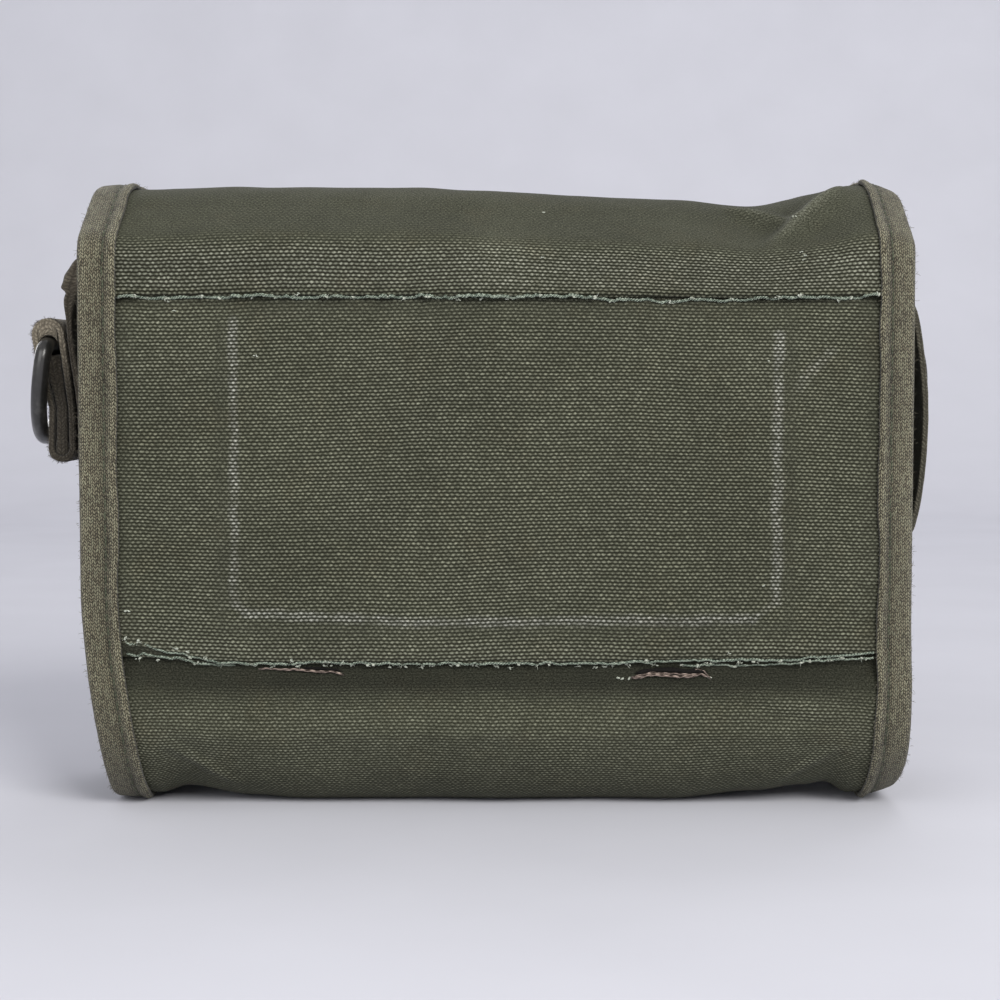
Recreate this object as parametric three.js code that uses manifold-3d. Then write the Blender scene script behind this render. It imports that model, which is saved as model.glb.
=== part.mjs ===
// A canvas belt pouch, filled and closed, standing on its base.
// Millimetres, +Z up. The origin is on the base, under the middle of the body. The back faces -Y,
// the flap closes on the +Y side, and the carrying ring hangs on the -X side.
import * as THREE from "three";
import { mergeVertices } from "three/addons/utils/BufferGeometryUtils.js";
import Module from "manifold-3d";

const { degToRad, lerp, smoothstep, clamp } = THREE.MathUtils;
const wasm = await Module();
wasm.setup();

// Cloth and clearances
const CANVAS = 1.2;
const TAPE = 1.0;
const WEBBING = 2.0;
const WEBBING_WIDTH = 25.4;
const GAP = 0.3;
const LAYER = CANVAS + GAP;

// Body, seen from behind
const BODY_HALF = 95;
const FLANGE = 8.6;
const LEAN = { left: degToRad(3), right: degToRad(20) };
const BASE_LEAN = { left: degToRad(3), right: degToRad(5) };
const TAPER = { left: 4, right: 0.2, from: 5, to: 58 };
const BEHIND_FADE = 32;

// Side outline of the wrap, as distances along Y and Z
const FRONT_Y = 34;
const FLAP_Y = 38.2;
const BACK_Y = -36;
const MIDDLE_Y = (FRONT_Y + BACK_Y) / 2;
const MOUTH_Z = 144;
const ROOF_Z = 160;
const FLAP_END_Z = 58;
const FRONT_CORNER = 20;
const BACK_CORNER = { depth: 26, height: 38 };
const SHOULDER = { z: 139, radius: 9, pitch: degToRad(33) };
const RIDGE_RADIUS = 30;
const FLAP_CORNER = 16;
const BELLY = 2.5;
const RECESS = { depth: 2.5, z: 29, half: 9.5 };

// Seams across the back, and how the hidden cloth edge dips under the one that covers it
const LOWER_SEAM_Z = 39;
const UPPER_SEAM_Z = 131;
const OVERLAP = 9;
const RAMP = 5;

// How far the filled top sags and the base lifts, one row for each section across the width
const OUTLINE = [
  { x: -92, roofDrop: -0.3, baseLift: 1.6 },
  { x: -84, roofDrop: -0.8, baseLift: 3.4 },
  { x: -66, roofDrop: -1.5, baseLift: 0.9 },
  { x: -52, roofDrop: -1.5, baseLift: 0.0 },
  { x: -20, roofDrop: -0.6, baseLift: 0.0 },
  { x: 27, roofDrop: 1.5, baseLift: 0.0 },
  { x: 45, roofDrop: 2.5, baseLift: 0.0 },
  { x: 67, roofDrop: 4.6, baseLift: 2.0 },
  { x: 80, roofDrop: 2.1, baseLift: 3.6 },
  { x: 86, roofDrop: 0.4, baseLift: 4.4 },
  { x: 92, roofDrop: -1.5, baseLift: 1.6 },
];
const FLAP_COLUMNS = [73.5, 89];
const ROOF_FADE = { from: 125, to: 158 };
const BASE_FADE = { from: 0, to: 24 };

// Raised folds on the flap, each from one point to another, with distances past the upper seam
const FOLDS = [
  { x0: 66, past0: 14, x1: 92, past1: 44, rise: 2.0, half: 6 },
  { x0: 58, past0: 40, x1: 76, past1: 26, rise: 1.2, half: 5 },
];

// How far each side panel swells out at its middle, one row for each height
const SWELL = [
  { z: 0, left: 0, right: 0 },
  { z: 55, left: 11.5, right: 10.2 },
  { z: 80, left: 12.2, right: 10.6 },
  { z: 100, left: 12.4, right: 10.6 },
  { z: 126, left: 15.1, right: 10 },
  { z: 142, left: 10.5, right: 7 },
  { z: 158, left: 2, right: 1.5 },
];

// Binding tape, folded over the seam allowance
const FOLD_INNER = FLANGE + 0.4;
const FOLD_OUTER = FOLD_INNER + TAPE;
const INNER_LEG_START = 2.4;
const FOLD_ROUND = 0.8;

// Side panel edges
const HEM = 0.8;
const HEM_FADE = 10;
const TOP_CLEAR = LAYER + TAPE + 2 * GAP + 0.2;
const TOP_FADE = 0.12;
const SIDE_COLUMNS = 8;

// Left side: sewn strip, ring loop and ring
const STRIP = { bottom: 72, top: 141.5, standOff: 0.2, capLength: 8, capExtra: 3.8, capThin: 2.8, rows: 12 };
const RING = { wire: 4.2, innerWidth: 29, height: 28.4, lean: degToRad(8.5), z: 119.2 };
const RING_LINE_POINTS = 28;
const RING_STEPS = 40;
const RING_SIDES = 10;
const LOOP_CLEAR = 0.35;
const LOOP = { topZ: 122, fullness: 3.4, waistZ: 103, waistHalf: 3.5 };
const LOBE = { z: 92.4, half: 3.75, slotHalf: 0.7, slotLength: 7 };

// Right side: snap tab, bowed away from the side panel between its two ends
const TAB = { bottom: 70, top: 132, bow: 4.4, fullness: 0.55, rows: 14, snapZ: 113 };

// Press snaps
const SNAP = { cap: 7, dome: 1.6, shank: 2, socket: 5.2, sides: 20 };
const FLAP_SNAP_Z = 74;

// Straight stretch of the wrap from one point to the next, in Y and Z.
function straight(y0, z0, y1, z1) {
  return new THREE.LineCurve(new THREE.Vector2(y0, z0), new THREE.Vector2(y1, z1));
}

// Rounded stretch of the wrap, turning clockwise between two angles.
function rounded(y, z, radiusY, radiusZ, from, to) {
  return new THREE.EllipseCurve(y, z, radiusY, radiusZ, from, to, true);
}

// The wrap as stretches from the front panel's top edge, under the base, up the back and over to the flap.
function wrapStretches() {
  const quarter = Math.PI / 2;
  const turn = quarter + SHOULDER.pitch;
  const shoulderY = BACK_Y + SHOULDER.radius;
  const slopeY = shoulderY + SHOULDER.radius * Math.cos(turn);
  const slopeZ = SHOULDER.z + SHOULDER.radius * Math.sin(turn);
  const ridgeZ = ROOF_Z - RIDGE_RADIUS * (1 - Math.sin(turn));
  const ridgeStartY = slopeY + (ridgeZ - slopeZ) / Math.tan(SHOULDER.pitch);
  const ridgeY = ridgeStartY - RIDGE_RADIUS * Math.cos(turn);
  const frontCornerY = FRONT_Y - FRONT_CORNER;
  const backCornerY = BACK_Y + BACK_CORNER.depth;
  const flapCornerY = FLAP_Y - FLAP_CORNER;
  const flapCornerZ = ROOF_Z - FLAP_CORNER;
  const { depth, height } = BACK_CORNER;
  return [
    { name: "front", steps: 7, curve: straight(FRONT_Y, MOUTH_Z, FRONT_Y, FRONT_CORNER) },
    {
      name: "frontCorner",
      steps: 6,
      curve: rounded(frontCornerY, FRONT_CORNER, FRONT_CORNER, FRONT_CORNER, 0, -quarter),
    },
    { name: "base", steps: 2, curve: straight(frontCornerY, 0, backCornerY, 0) },
    { name: "backCorner", steps: 10, curve: rounded(backCornerY, height, depth, height, -quarter, -Math.PI) },
    { name: "back", steps: 4, curve: straight(BACK_Y, height, BACK_Y, SHOULDER.z) },
    {
      name: "shoulder",
      steps: 4,
      curve: rounded(shoulderY, SHOULDER.z, SHOULDER.radius, SHOULDER.radius, Math.PI, turn),
    },
    { name: "slope", steps: 4, curve: straight(slopeY, slopeZ, ridgeStartY, ridgeZ) },
    {
      name: "ridge",
      steps: 3,
      curve: rounded(ridgeY, ROOF_Z - RIDGE_RADIUS, RIDGE_RADIUS, RIDGE_RADIUS, turn, quarter),
    },
    { name: "roof", steps: 2, curve: straight(ridgeY, ROOF_Z, flapCornerY, ROOF_Z) },
    {
      name: "flapCorner",
      steps: 4,
      curve: rounded(flapCornerY, flapCornerZ, FLAP_CORNER, FLAP_CORNER, quarter, 0),
    },
    { name: "flapFront", steps: 5, curve: straight(FLAP_Y, flapCornerZ, FLAP_Y, FLAP_END_Z) },
  ];
}

const stretches = wrapStretches();
const wrapLine = new THREE.CurvePath();
wrapLine.curves = stretches.map((stretch) => stretch.curve);
const wrapLength = wrapLine.getLength();
const endOf = {};
stretches.forEach((stretch, k) => {
  endOf[stretch.name] = wrapLine.getCurveLengths()[k];
});
const lowerSeam = endOf.backCorner + LOWER_SEAM_Z - BACK_CORNER.height;
const upperSeam = endOf.backCorner + UPPER_SEAM_Z - BACK_CORNER.height;

// Lengths along the wrap where cross-sections are taken: the stretches' steps and the seams' edges.
function wrapStations() {
  const found = [0];
  stretches.forEach((stretch) => {
    const end = endOf[stretch.name];
    const length = stretch.curve.getLength();
    for (let k = 1; k <= stretch.steps; k++) found.push(end - length * (1 - k / stretch.steps));
  });
  for (const seam of [lowerSeam, upperSeam])
    found.push(seam - RAMP, seam, seam + OVERLAP, seam + OVERLAP + RAMP);
  found.sort((a, b) => a - b);
  return found.filter((s, k) => k === 0 || s - found[k - 1] > 0.5 || s === lowerSeam || s === upperSeam);
}
const stations = wrapStations();
const stationsBetween = (from, to) => [
  from,
  ...stations.filter((s) => s > from + 0.5 && s < to - 0.5),
  to,
];

// Value of a table's column at a place, eased from row to row.
function eased(table, key, at, column) {
  const next = table.findIndex((row) => row[key] >= at);
  if (next < 0) return table.at(-1)[column];
  if (next === 0) return table[0][column];
  const [a, b] = [table[next - 1], table[next]];
  return lerp(a[column], b[column], smoothstep(at, a[key], b[key]));
}

// A smooth hump, 1 at the middle and 0 from half its width on.
const hump = (off, half) => Math.max(0, 1 - (off / half) ** 2) ** 2;

// How far the flap's folds stand out at a place: a ridge along each fold's line, fading to its ends.
function foldRise(x, s) {
  const past = s - upperSeam;
  return FOLDS.reduce((sum, { x0, past0, x1, past1, rise, half }) => {
    const [dx, ds] = [x1 - x0, past1 - past0];
    const length = Math.hypot(dx, ds);
    const t = ((x - x0) * dx + (past - past0) * ds) / length ** 2;
    const off = ((x - x0) * ds - (past - past0) * dx) / length;
    return t <= 0 || t >= 1 ? sum : sum + rise * Math.sin(Math.PI * t) * hump(off, half);
  }, 0);
}

// How far the wrap stands in under the lower seam, away from the bound edges.
function seamRecess(x, s, z) {
  if (s < endOf.base || s > lowerSeam) return 0;
  return RECESS.depth * hump(z - RECESS.z, RECESS.half) * (1 - (x / BODY_HALF) ** 6);
}

// Share of the full taper towards the base at a height.
const lowShare = (z) => 1 - smoothstep(z, TAPER.from, TAPER.to);

// Point on the wrap: x across, s along it, out from its outer face. Past the body's edge it is the flange.
function wrapPoint(x, s, out) {
  const t = clamp(s / wrapLength, 0, 1);
  const { x: y, y: z } = wrapLine.getPoint(t);
  const along = wrapLine.getTangent(t);
  const inside = clamp(x, -BODY_HALF, BODY_HALF);
  const past = Math.abs(x - inside);
  const side = x < 0 ? "left" : "right";
  const behind = smoothstep(s, endOf.base, endOf.base + BEHIND_FADE);
  const lean = lerp(LEAN[side], BASE_LEAN[side], lowShare(z) * behind);
  const narrow = TAPER[side] * lowShare(z) * (inside / BODY_HALF) ** 4;
  const sag = eased(OUTLINE, "x", x, "roofDrop") * smoothstep(z, ROOF_FADE.from, ROOF_FADE.to);
  const lift = eased(OUTLINE, "x", x, "baseLift") * (1 - smoothstep(z, BASE_FADE.from, BASE_FADE.to));
  const onFront = s < endOf.front || s > endOf.flapCorner;
  const belly = onFront ? BELLY * (1 - (inside / BODY_HALF) ** 2) * Math.sin((Math.PI * z) / MOUTH_Z) : 0;
  const dents = foldRise(x, s) - seamRecess(inside, s, z);
  const reach = out + belly + dents - past * Math.sin(lean);
  return new THREE.Vector3(
    inside + Math.sign(x) * (past * Math.cos(lean) - narrow),
    y - along.y * reach,
    z + along.x * reach - sag + lift,
  );
}

// Share of a second cloth layer under the outer one, 1 along a seam's overlap.
function doubled(s) {
  const over = (seam) =>
    smoothstep(s, seam - RAMP, seam) * (1 - smoothstep(s, seam + OVERLAP, seam + OVERLAP + RAMP));
  return over(lowerSeam) + over(upperSeam);
}

// A mesh's geometry from points and triangles, turned so that its faces point out.
function closedGeometry(points, triangles) {
  const volume = triangles.reduce(
    (sum, [a, b, c]) => sum + points[a].dot(points[b].clone().cross(points[c])),
    0,
  );
  const faced = volume < 0 ? triangles.map(([a, b, c]) => [a, c, b]) : triangles;
  const geometry = new THREE.BufferGeometry().setFromPoints(points);
  geometry.setIndex(faced.flat());
  geometry.computeVertexNormals();
  return geometry;
}

// Triangles of a grid whose points are numbered along its columns first.
function gridTriangles(columns, rows) {
  const triangles = [];
  for (let j = 0; j < rows - 1; j++)
    for (let i = 0; i < columns - 1; i++) {
      const a = j * columns + i;
      const d = a + columns;
      triangles.push([a, a + 1, d + 1], [a, d + 1, d]);
    }
  return triangles;
}

// A cloth wall between two skins that share their triangles, closed round its open edges.
function clothWall(outer, inner, triangles) {
  const n = outer.length;
  const edges = new Set(triangles.flatMap(([a, b, c]) => [`${a},${b}`, `${b},${c}`, `${c},${a}`]));
  const rim = [];
  for (const edge of edges) {
    const [p, q] = edge.split(",").map(Number);
    if (!edges.has(`${q},${p}`)) rim.push([q, p, p + n], [q, p + n, q + n]);
  }
  const lining = triangles.map(([a, b, c]) => [a + n, c + n, b + n]);
  return closedGeometry([...outer, ...inner], [...triangles, ...lining, ...rim]);
}

// A cloth wall over a grid of two parameters; skin(p, q, face) gives its outer (0) and inner (1) face.
function clothGrid(across, along, skin) {
  const points = (face) => along.flatMap((q) => across.map((p) => skin(p, q, face)));
  return clothWall(points(0), points(1), gridTriangles(across.length, along.length));
}

// A solid carried through sections that are closed loops of points, with flat ends.
function carried(sections, contour) {
  const m = contour.length;
  const triangles = [];
  for (let j = 0; j < sections.length - 1; j++)
    for (let i = 0; i < m; i++) {
      const [a, b] = [j * m + i, j * m + ((i + 1) % m)];
      triangles.push([a, b, b + m], [a, b + m, a + m]);
    }
  const cap = THREE.ShapeUtils.triangulateShape(contour, []);
  const facing = THREE.ShapeUtils.isClockWise(contour);
  const last = (sections.length - 1) * m;
  for (const [a, b, c] of cap) {
    const [p, q] = facing ? [b, c] : [c, b];
    triangles.push([a, p, q], [a + last, q + last, p + last]);
  }
  return closedGeometry(sections.flat(), triangles);
}

// Evenly spaced values from one to another.
const spaced = (from, to, steps) => Array.from({ length: steps + 1 }, (_, k) => lerp(from, to, k / steps));

// Joining and cutting
function solidOf(geometry) {
  const bare = new THREE.BufferGeometry().setAttribute("position", geometry.getAttribute("position"));
  if (geometry.index) bare.setIndex(geometry.index);
  const merged = mergeVertices(bare, 1e-3);
  return new wasm.Manifold(
    new wasm.Mesh({
      numProp: 3,
      vertProperties: merged.attributes.position.array,
      triVerts: new Uint32Array(merged.index.array),
    }),
  );
}

function geometryOf(solid) {
  const { vertProperties, triVerts } = solid.getMesh();
  const geometry = new THREE.BufferGeometry();
  geometry.setAttribute("position", new THREE.BufferAttribute(vertProperties, 3));
  geometry.setIndex(new THREE.BufferAttribute(triVerts, 1));
  geometry.computeVertexNormals();
  return geometry;
}

// Canvas panels of the wrap
const clothEdge = BODY_HALF + FLANGE;
const columns = [-clothEdge, -BODY_HALF, ...OUTLINE.map((row) => row.x), BODY_HALF, clothEdge];

function canvasPanel(across, from, to, dip) {
  return clothGrid(across, stationsBetween(from, to), (x, s, face) =>
    wrapPoint(x, s, -dip(s) - face * CANVAS),
  );
}

const dipUnder = (seam) => (s) => LAYER * smoothstep(s, seam - RAMP, seam);
const flapColumns = [...columns, ...FLAP_COLUMNS].sort((a, b) => a - b);
const frontPanel = () => canvasPanel(columns, 0, lowerSeam + OVERLAP, dipUnder(lowerSeam));
const backPanel = () => canvasPanel(columns, lowerSeam, upperSeam + OVERLAP, dipUnder(upperSeam));
const flapPanel = () => canvasPanel(flapColumns, upperSeam, wrapLength, () => 0);

// How far a side panel swells out at a place: crowned across its depth, by the table in height.
function swell(side, y, z) {
  const half = (FRONT_Y - BACK_Y) / 2 - LAYER - CANVAS;
  const off = Math.min(1, Math.abs(y - MIDDLE_Y) / half);
  return eased(SWELL, "z", z, side) * (1 - off ** 3) ** 1.3;
}

const signOf = (side) => (side === "left" ? -1 : 1);

// A side panel: a patch between its four edges, swelling out, with its edge turned out along the wrap.
function sidePanel(side) {
  const sign = signOf(side);
  const lipTop = { front: 0, back: endOf.back };
  const underWrap = (s, face) => -LAYER * (1 + doubled(s)) - (1 - face) * CANVAS;
  const edgeAt = (s, out) => {
    const { y, z } = wrapPoint(sign * BODY_HALF, s, out);
    return new THREE.Vector2(y, z);
  };
  const frontS = (t) => lerp(endOf.frontCorner, lipTop.front, t);
  const backS = (t) => lerp(endOf.base, lipTop.back, t);
  const baseS = (u) => lerp(endOf.frontCorner, endOf.base, u);
  const topS = (u) => lerp(endOf.flapCorner, lipTop.back, u);

  const onFront = stations.filter((s) => s <= endOf.frontCorner);
  const onBack = stations.filter((s) => s >= endOf.base && s <= lipTop.back);
  const heights = [
    ...onFront.map((s) => 1 - s / endOf.frontCorner),
    ...onBack.map((s) => (s - endOf.base) / (lipTop.back - endOf.base)),
  ].sort((a, b) => a - b);
  const along = heights.filter((t, k) => k === 0 || t - heights[k - 1] > 1e-3);
  along[along.length - 1] = 1;
  const across = spaced(0, 1, SIDE_COLUMNS);

  // Coons patch of the four edges, in Y and Z
  const patch = (u, t, face) => {
    const front = edgeAt(frontS(t), underWrap(frontS(t), face));
    const back = edgeAt(backS(t), underWrap(backS(t), face));
    const base = edgeAt(baseS(u), underWrap(baseS(u), face));
    const [frontTop, backTop] = [0, lipTop.back].map((s) => edgeAt(s, underWrap(s, face)));
    const ends = { 0: frontTop, 1: backTop };
    const top = ends[u] ?? edgeAt(topS(u), -TOP_CLEAR - (1 - face) * CANVAS);
    const [low, high] = [0, 1].map((w) => edgeAt(baseS(w), underWrap(baseS(w), face)));
    const sum = new THREE.Vector2();
    sum.addScaledVector(base, 1 - t).addScaledVector(top, t);
    sum.addScaledVector(front, 1 - u).addScaledVector(back, u);
    sum.addScaledVector(low, -(1 - u) * (1 - t)).addScaledVector(high, -u * (1 - t));
    return sum.addScaledVector(frontTop, -(1 - u) * t).addScaledVector(backTop, -u * t);
  };
  const skin = (u, t, face) => {
    const { x: y, y: z } = patch(u, t, face);
    const edge = BODY_HALF - TAPER[side] * lowShare(z) - face * CANVAS;
    return new THREE.Vector3(sign * (edge + swell(side, y, z) * smoothstep(1 - t, 0, TOP_FADE)), y, z);
  };

  // Points round the patch's edge, each with its place along the wrap if it is sewn there
  const [wide, tall] = [across.length, along.length];
  const rim = [
    ...across.slice(0, -1).map((u, i) => ({ index: i, s: baseS(u) })),
    ...along.map((t, j) => ({ index: j * wide + wide - 1, s: backS(t) })),
    ...across.slice(1, -1).map((u, i) => ({ index: tall * wide - 2 - i })),
    ...along.slice(1).map((t, j) => ({ index: (tall - 1 - j) * wide, s: frontS(along[tall - 1 - j]) })),
  ];
  const lipWidth = (s) => {
    const toTop = Math.min(s - lipTop.front, lipTop.back - s);
    return lerp(HEM, FLANGE, smoothstep(toTop, 0, HEM_FADE));
  };
  const lipPoint = (edge, point, face) =>
    edge.s === undefined
      ? point.clone().add(new THREE.Vector3(sign * (HEM + face * CANVAS), 0, 0))
      : wrapPoint(sign * (BODY_HALF + lipWidth(edge.s)), edge.s, underWrap(edge.s, face));
  const faces = [0, 1].map((face) => {
    const points = along.flatMap((t) => across.map((u) => skin(u, t, face)));
    return [...points, ...rim.map((edge) => lipPoint(edge, points[edge.index], face))];
  });
  const triangles = gridTriangles(wide, tall);
  rim.forEach((edge, k) => {
    const next = (k + 1) % rim.length;
    const [lip, nextLip] = [k, next].map((n) => wide * tall + n);
    triangles.push([rim[next].index, edge.index, lip], [rim[next].index, lip, nextLip]);
  });
  return clothWall(faces[0], faces[1], triangles);
}

// Binding tape: a folded strip round the edge of the wrap and of the side panel's turned-out lip.
function bindingTape(side) {
  const sign = signOf(side);
  const held = (s) => {
    const sewn = LAYER * (1 + doubled(s)) + CANVAS;
    return lerp(sewn, CANVAS, smoothstep(s, endOf.back, endOf.shoulder));
  };
  const contourAt = (s) => {
    const top = GAP;
    const bottom = -held(s) - GAP;
    return [
      [0, top + TAPE],
      [FOLD_OUTER - FOLD_ROUND, top + TAPE],
      [FOLD_OUTER, top + TAPE - FOLD_ROUND],
      [FOLD_OUTER, bottom - TAPE + FOLD_ROUND],
      [FOLD_OUTER - FOLD_ROUND, bottom - TAPE],
      [INNER_LEG_START, bottom - TAPE],
      [INNER_LEG_START, bottom],
      [FOLD_INNER, bottom],
      [FOLD_INNER, top],
      [0, top],
    ].map(([across, out]) => new THREE.Vector2(across, out));
  };
  const sections = stations.map((s) =>
    contourAt(s).map((corner) => wrapPoint(sign * (BODY_HALF + corner.x), s, corner.y)),
  );
  return carried(sections, contourAt(0));
}

// Webbing sewn on a side panel: straight across its width, following the swell in height.
function sideWebbing(side, heights, standOff, thickness) {
  const sign = signOf(side);
  const across = [MIDDLE_Y - WEBBING_WIDTH / 2, MIDDLE_Y, MIDDLE_Y + WEBBING_WIDTH / 2];
  return clothGrid(across, heights, (y, z, face) => {
    const under = BODY_HALF + swell(side, MIDDLE_Y, z) + GAP + standOff(z);
    return new THREE.Vector3(sign * (under + (face ? 0 : thickness(z))), y, z);
  });
}

// The strip's turned-under top end makes a thicker cap that thins towards its edge.
const capStart = STRIP.top - STRIP.capLength;
const stripHeights = [...spaced(STRIP.bottom, capStart - 1, STRIP.rows), ...spaced(capStart, STRIP.top, 3)];

function stripThickness(z) {
  const step = smoothstep(z, capStart - 1, capStart);
  return WEBBING + STRIP.capExtra * step - STRIP.capThin * smoothstep(z, capStart, STRIP.top);
}

// How far the tab bows out at a height: a half sine, filled out.
function tabBow(z) {
  const rise = Math.sin((Math.PI * (z - TAB.bottom)) / (TAB.top - TAB.bottom));
  return TAB.bow * Math.max(0, rise) ** TAB.fullness;
}

// Ring loop: webbing folded over the ring's bar, which hangs low in it, sewn at its waist, with a folded lobe
// below.
const eyeRadius = RING.wire / 2 + LOOP_CLEAR;
const loopRadius = eyeRadius + WEBBING;
const stripFace = (z) => BODY_HALF + swell("left", MIDDLE_Y, z) + GAP + STRIP.standOff + WEBBING;
const barX = stripFace(LOOP.topZ) + GAP + loopRadius;

function ringLoop() {
  const waistX = stripFace(LOOP.waistZ) + GAP + LOOP.waistHalf;
  const lobeX = stripFace(LOBE.z) + GAP + LOBE.half;
  const { topZ, fullness, waistZ, waistHalf } = LOOP;
  const shape = new THREE.Shape();
  shape.absarc(-barX, topZ, loopRadius, 0, Math.PI, false);
  shape.quadraticCurveTo(-barX - fullness, RING.z - loopRadius, -waistX - waistHalf, waistZ);
  shape.lineTo(-lobeX - LOBE.half, LOBE.z + LOBE.slotLength);
  shape.absarc(-lobeX, LOBE.z, LOBE.half, Math.PI, 2 * Math.PI, false);
  shape.lineTo(-lobeX + LOBE.half, LOBE.z + LOBE.slotLength);
  shape.lineTo(-waistX + waistHalf, waistZ);
  const eye = new THREE.Path();
  eye.absarc(-barX, topZ, eyeRadius, 0, Math.PI, false);
  eye.absarc(-barX, RING.z, eyeRadius, Math.PI, 2 * Math.PI, false);
  const slot = new THREE.Path();
  slot.absellipse(-lobeX, LOBE.z + 1, LOBE.slotHalf, LOBE.slotLength / 2, 0, 2 * Math.PI, true);
  shape.holes.push(eye, slot);
  return new THREE.ExtrudeGeometry(shape, { depth: WEBBING_WIDTH, bevelEnabled: false, curveSegments: 10 });
}

// Carrying ring: a D of round wire, its straight bar in the loop and its bow hanging below.
function carryingRing() {
  const half = (RING.innerWidth + RING.wire) / 2;
  const drop = RING.height - RING.wire;
  const corner = RING.wire;
  const outline = new THREE.Path();
  outline.moveTo(-half + corner, 0);
  outline.lineTo(half - corner, 0);
  outline.quadraticCurveTo(half, 0, half, -corner);
  outline.absellipse(0, -corner, half, drop - corner, 0, -Math.PI, true);
  outline.quadraticCurveTo(-half, 0, -half + corner, 0);
  const points = outline.getSpacedPoints(RING_LINE_POINTS).slice(0, -1);
  const line = new THREE.CatmullRomCurve3(points.map((p) => new THREE.Vector3(0, p.x, p.y)), true);
  return new THREE.TubeGeometry(line, RING_STEPS, RING.wire / 2, RING_SIDES, true);
}

// Press snap, turned about its shank: a domed cap, a shank through the cloth and a socket behind it.
function pressSnap(cloth, reach) {
  const back = -cloth - GAP;
  const profile = [
    [0, back - reach],
    [SNAP.socket, back - reach],
    [SNAP.socket, back],
    [SNAP.shank, back],
    [SNAP.shank, GAP],
    [SNAP.cap, GAP],
    [SNAP.cap * 0.9, GAP + SNAP.dome * 0.6],
    [SNAP.cap * 0.55, GAP + SNAP.dome * 0.93],
    [0, GAP + SNAP.dome],
  ].map(([radius, height]) => new THREE.Vector2(radius, height));
  return new THREE.LatheGeometry(profile, SNAP.sides);
}

// Where a snap sits: a point on the cloth's outer face, with the shank along that face's normal.
function snapPlace(point, normal) {
  const turn = new THREE.Quaternion().setFromUnitVectors(new THREE.Vector3(0, 1, 0), normal);
  return new THREE.Matrix4().compose(point, turn, new THREE.Vector3(1, 1, 1));
}

function shankHole(place) {
  const radius = SNAP.shank + GAP;
  const drill = new THREE.CylinderGeometry(radius, radius, 4 * WEBBING, SNAP.sides);
  return solidOf(drill.applyMatrix4(place));
}

const tabFace = (z) => BODY_HALF + swell("right", MIDDLE_Y, z) + GAP + tabBow(z) + WEBBING;
const tabSlope = (tabFace(TAB.snapZ + 1) - tabFace(TAB.snapZ - 1)) / 2;
const tabSnapPlace = snapPlace(
  new THREE.Vector3(tabFace(TAB.snapZ), MIDDLE_Y, TAB.snapZ),
  new THREE.Vector3(1, 0, -tabSlope).normalize(),
);
const flapFace = wrapPoint(0, wrapLength - (FLAP_SNAP_Z - FLAP_END_Z), 0);
const flapSnapPlace = snapPlace(flapFace, new THREE.Vector3(0, 1, 0));

// Materials
const canvas = new THREE.MeshStandardMaterial({ color: 0x4f5242, roughness: 0.95, metalness: 0 });
const tape = new THREE.MeshStandardMaterial({ color: 0x676252, roughness: 0.97, metalness: 0 });
const webbing = new THREE.MeshStandardMaterial({ color: 0x57503f, roughness: 0.97, metalness: 0 });
const blackened = new THREE.MeshStandardMaterial({ color: 0x343330, roughness: 0.45, metalness: 0.8 });

const pouch = new THREE.Group();

function addPiece(name, geometry, material) {
  const mesh = new THREE.Mesh(geometry, material);
  mesh.name = name;
  pouch.add(mesh);
  return mesh;
}

addPiece("front_panel", frontPanel(), canvas);
addPiece("back_panel", backPanel(), canvas);
addPiece("flap", geometryOf(solidOf(flapPanel()).subtract(shankHole(flapSnapPlace))), canvas);
for (const side of ["left", "right"]) {
  addPiece(`${side}_side_panel`, sidePanel(side), canvas);
  addPiece(`${side}_binding`, bindingTape(side), tape);
}

addPiece("ring_strip", sideWebbing("left", stripHeights, () => STRIP.standOff, stripThickness), webbing);
const loop = addPiece("ring_loop", ringLoop(), webbing);
loop.rotation.x = Math.PI / 2;
loop.position.y = MIDDLE_Y + WEBBING_WIDTH / 2;
const ring = addPiece("carry_ring", carryingRing(), blackened);
ring.position.set(-barX, MIDDLE_Y, RING.z);
ring.rotation.y = RING.lean;

const tab = sideWebbing("right", spaced(TAB.bottom, TAB.top, TAB.rows), tabBow, () => WEBBING);
addPiece("snap_tab", geometryOf(solidOf(tab).subtract(shankHole(tabSnapPlace))), webbing);
const tabReach = tabBow(TAB.snapZ) - 3 * GAP;
addPiece("tab_snap", pressSnap(WEBBING, tabReach).applyMatrix4(tabSnapPlace), blackened);
const flapReach = FLAP_Y - CANVAS - FRONT_Y - 2 * GAP;
addPiece("flap_snap", pressSnap(CANVAS, flapReach).applyMatrix4(flapSnapPlace), blackened);

export default pouch;
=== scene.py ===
"""A worn olive canvas pouch seen from behind, standing on a pale sweep of paper.

Sizes are in millimetres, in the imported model's frame, and meshes are written in metres.
"""

import functools
import logging
import math
from dataclasses import dataclass, field
from enum import Enum
from typing import Optional, Sequence, Union

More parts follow.
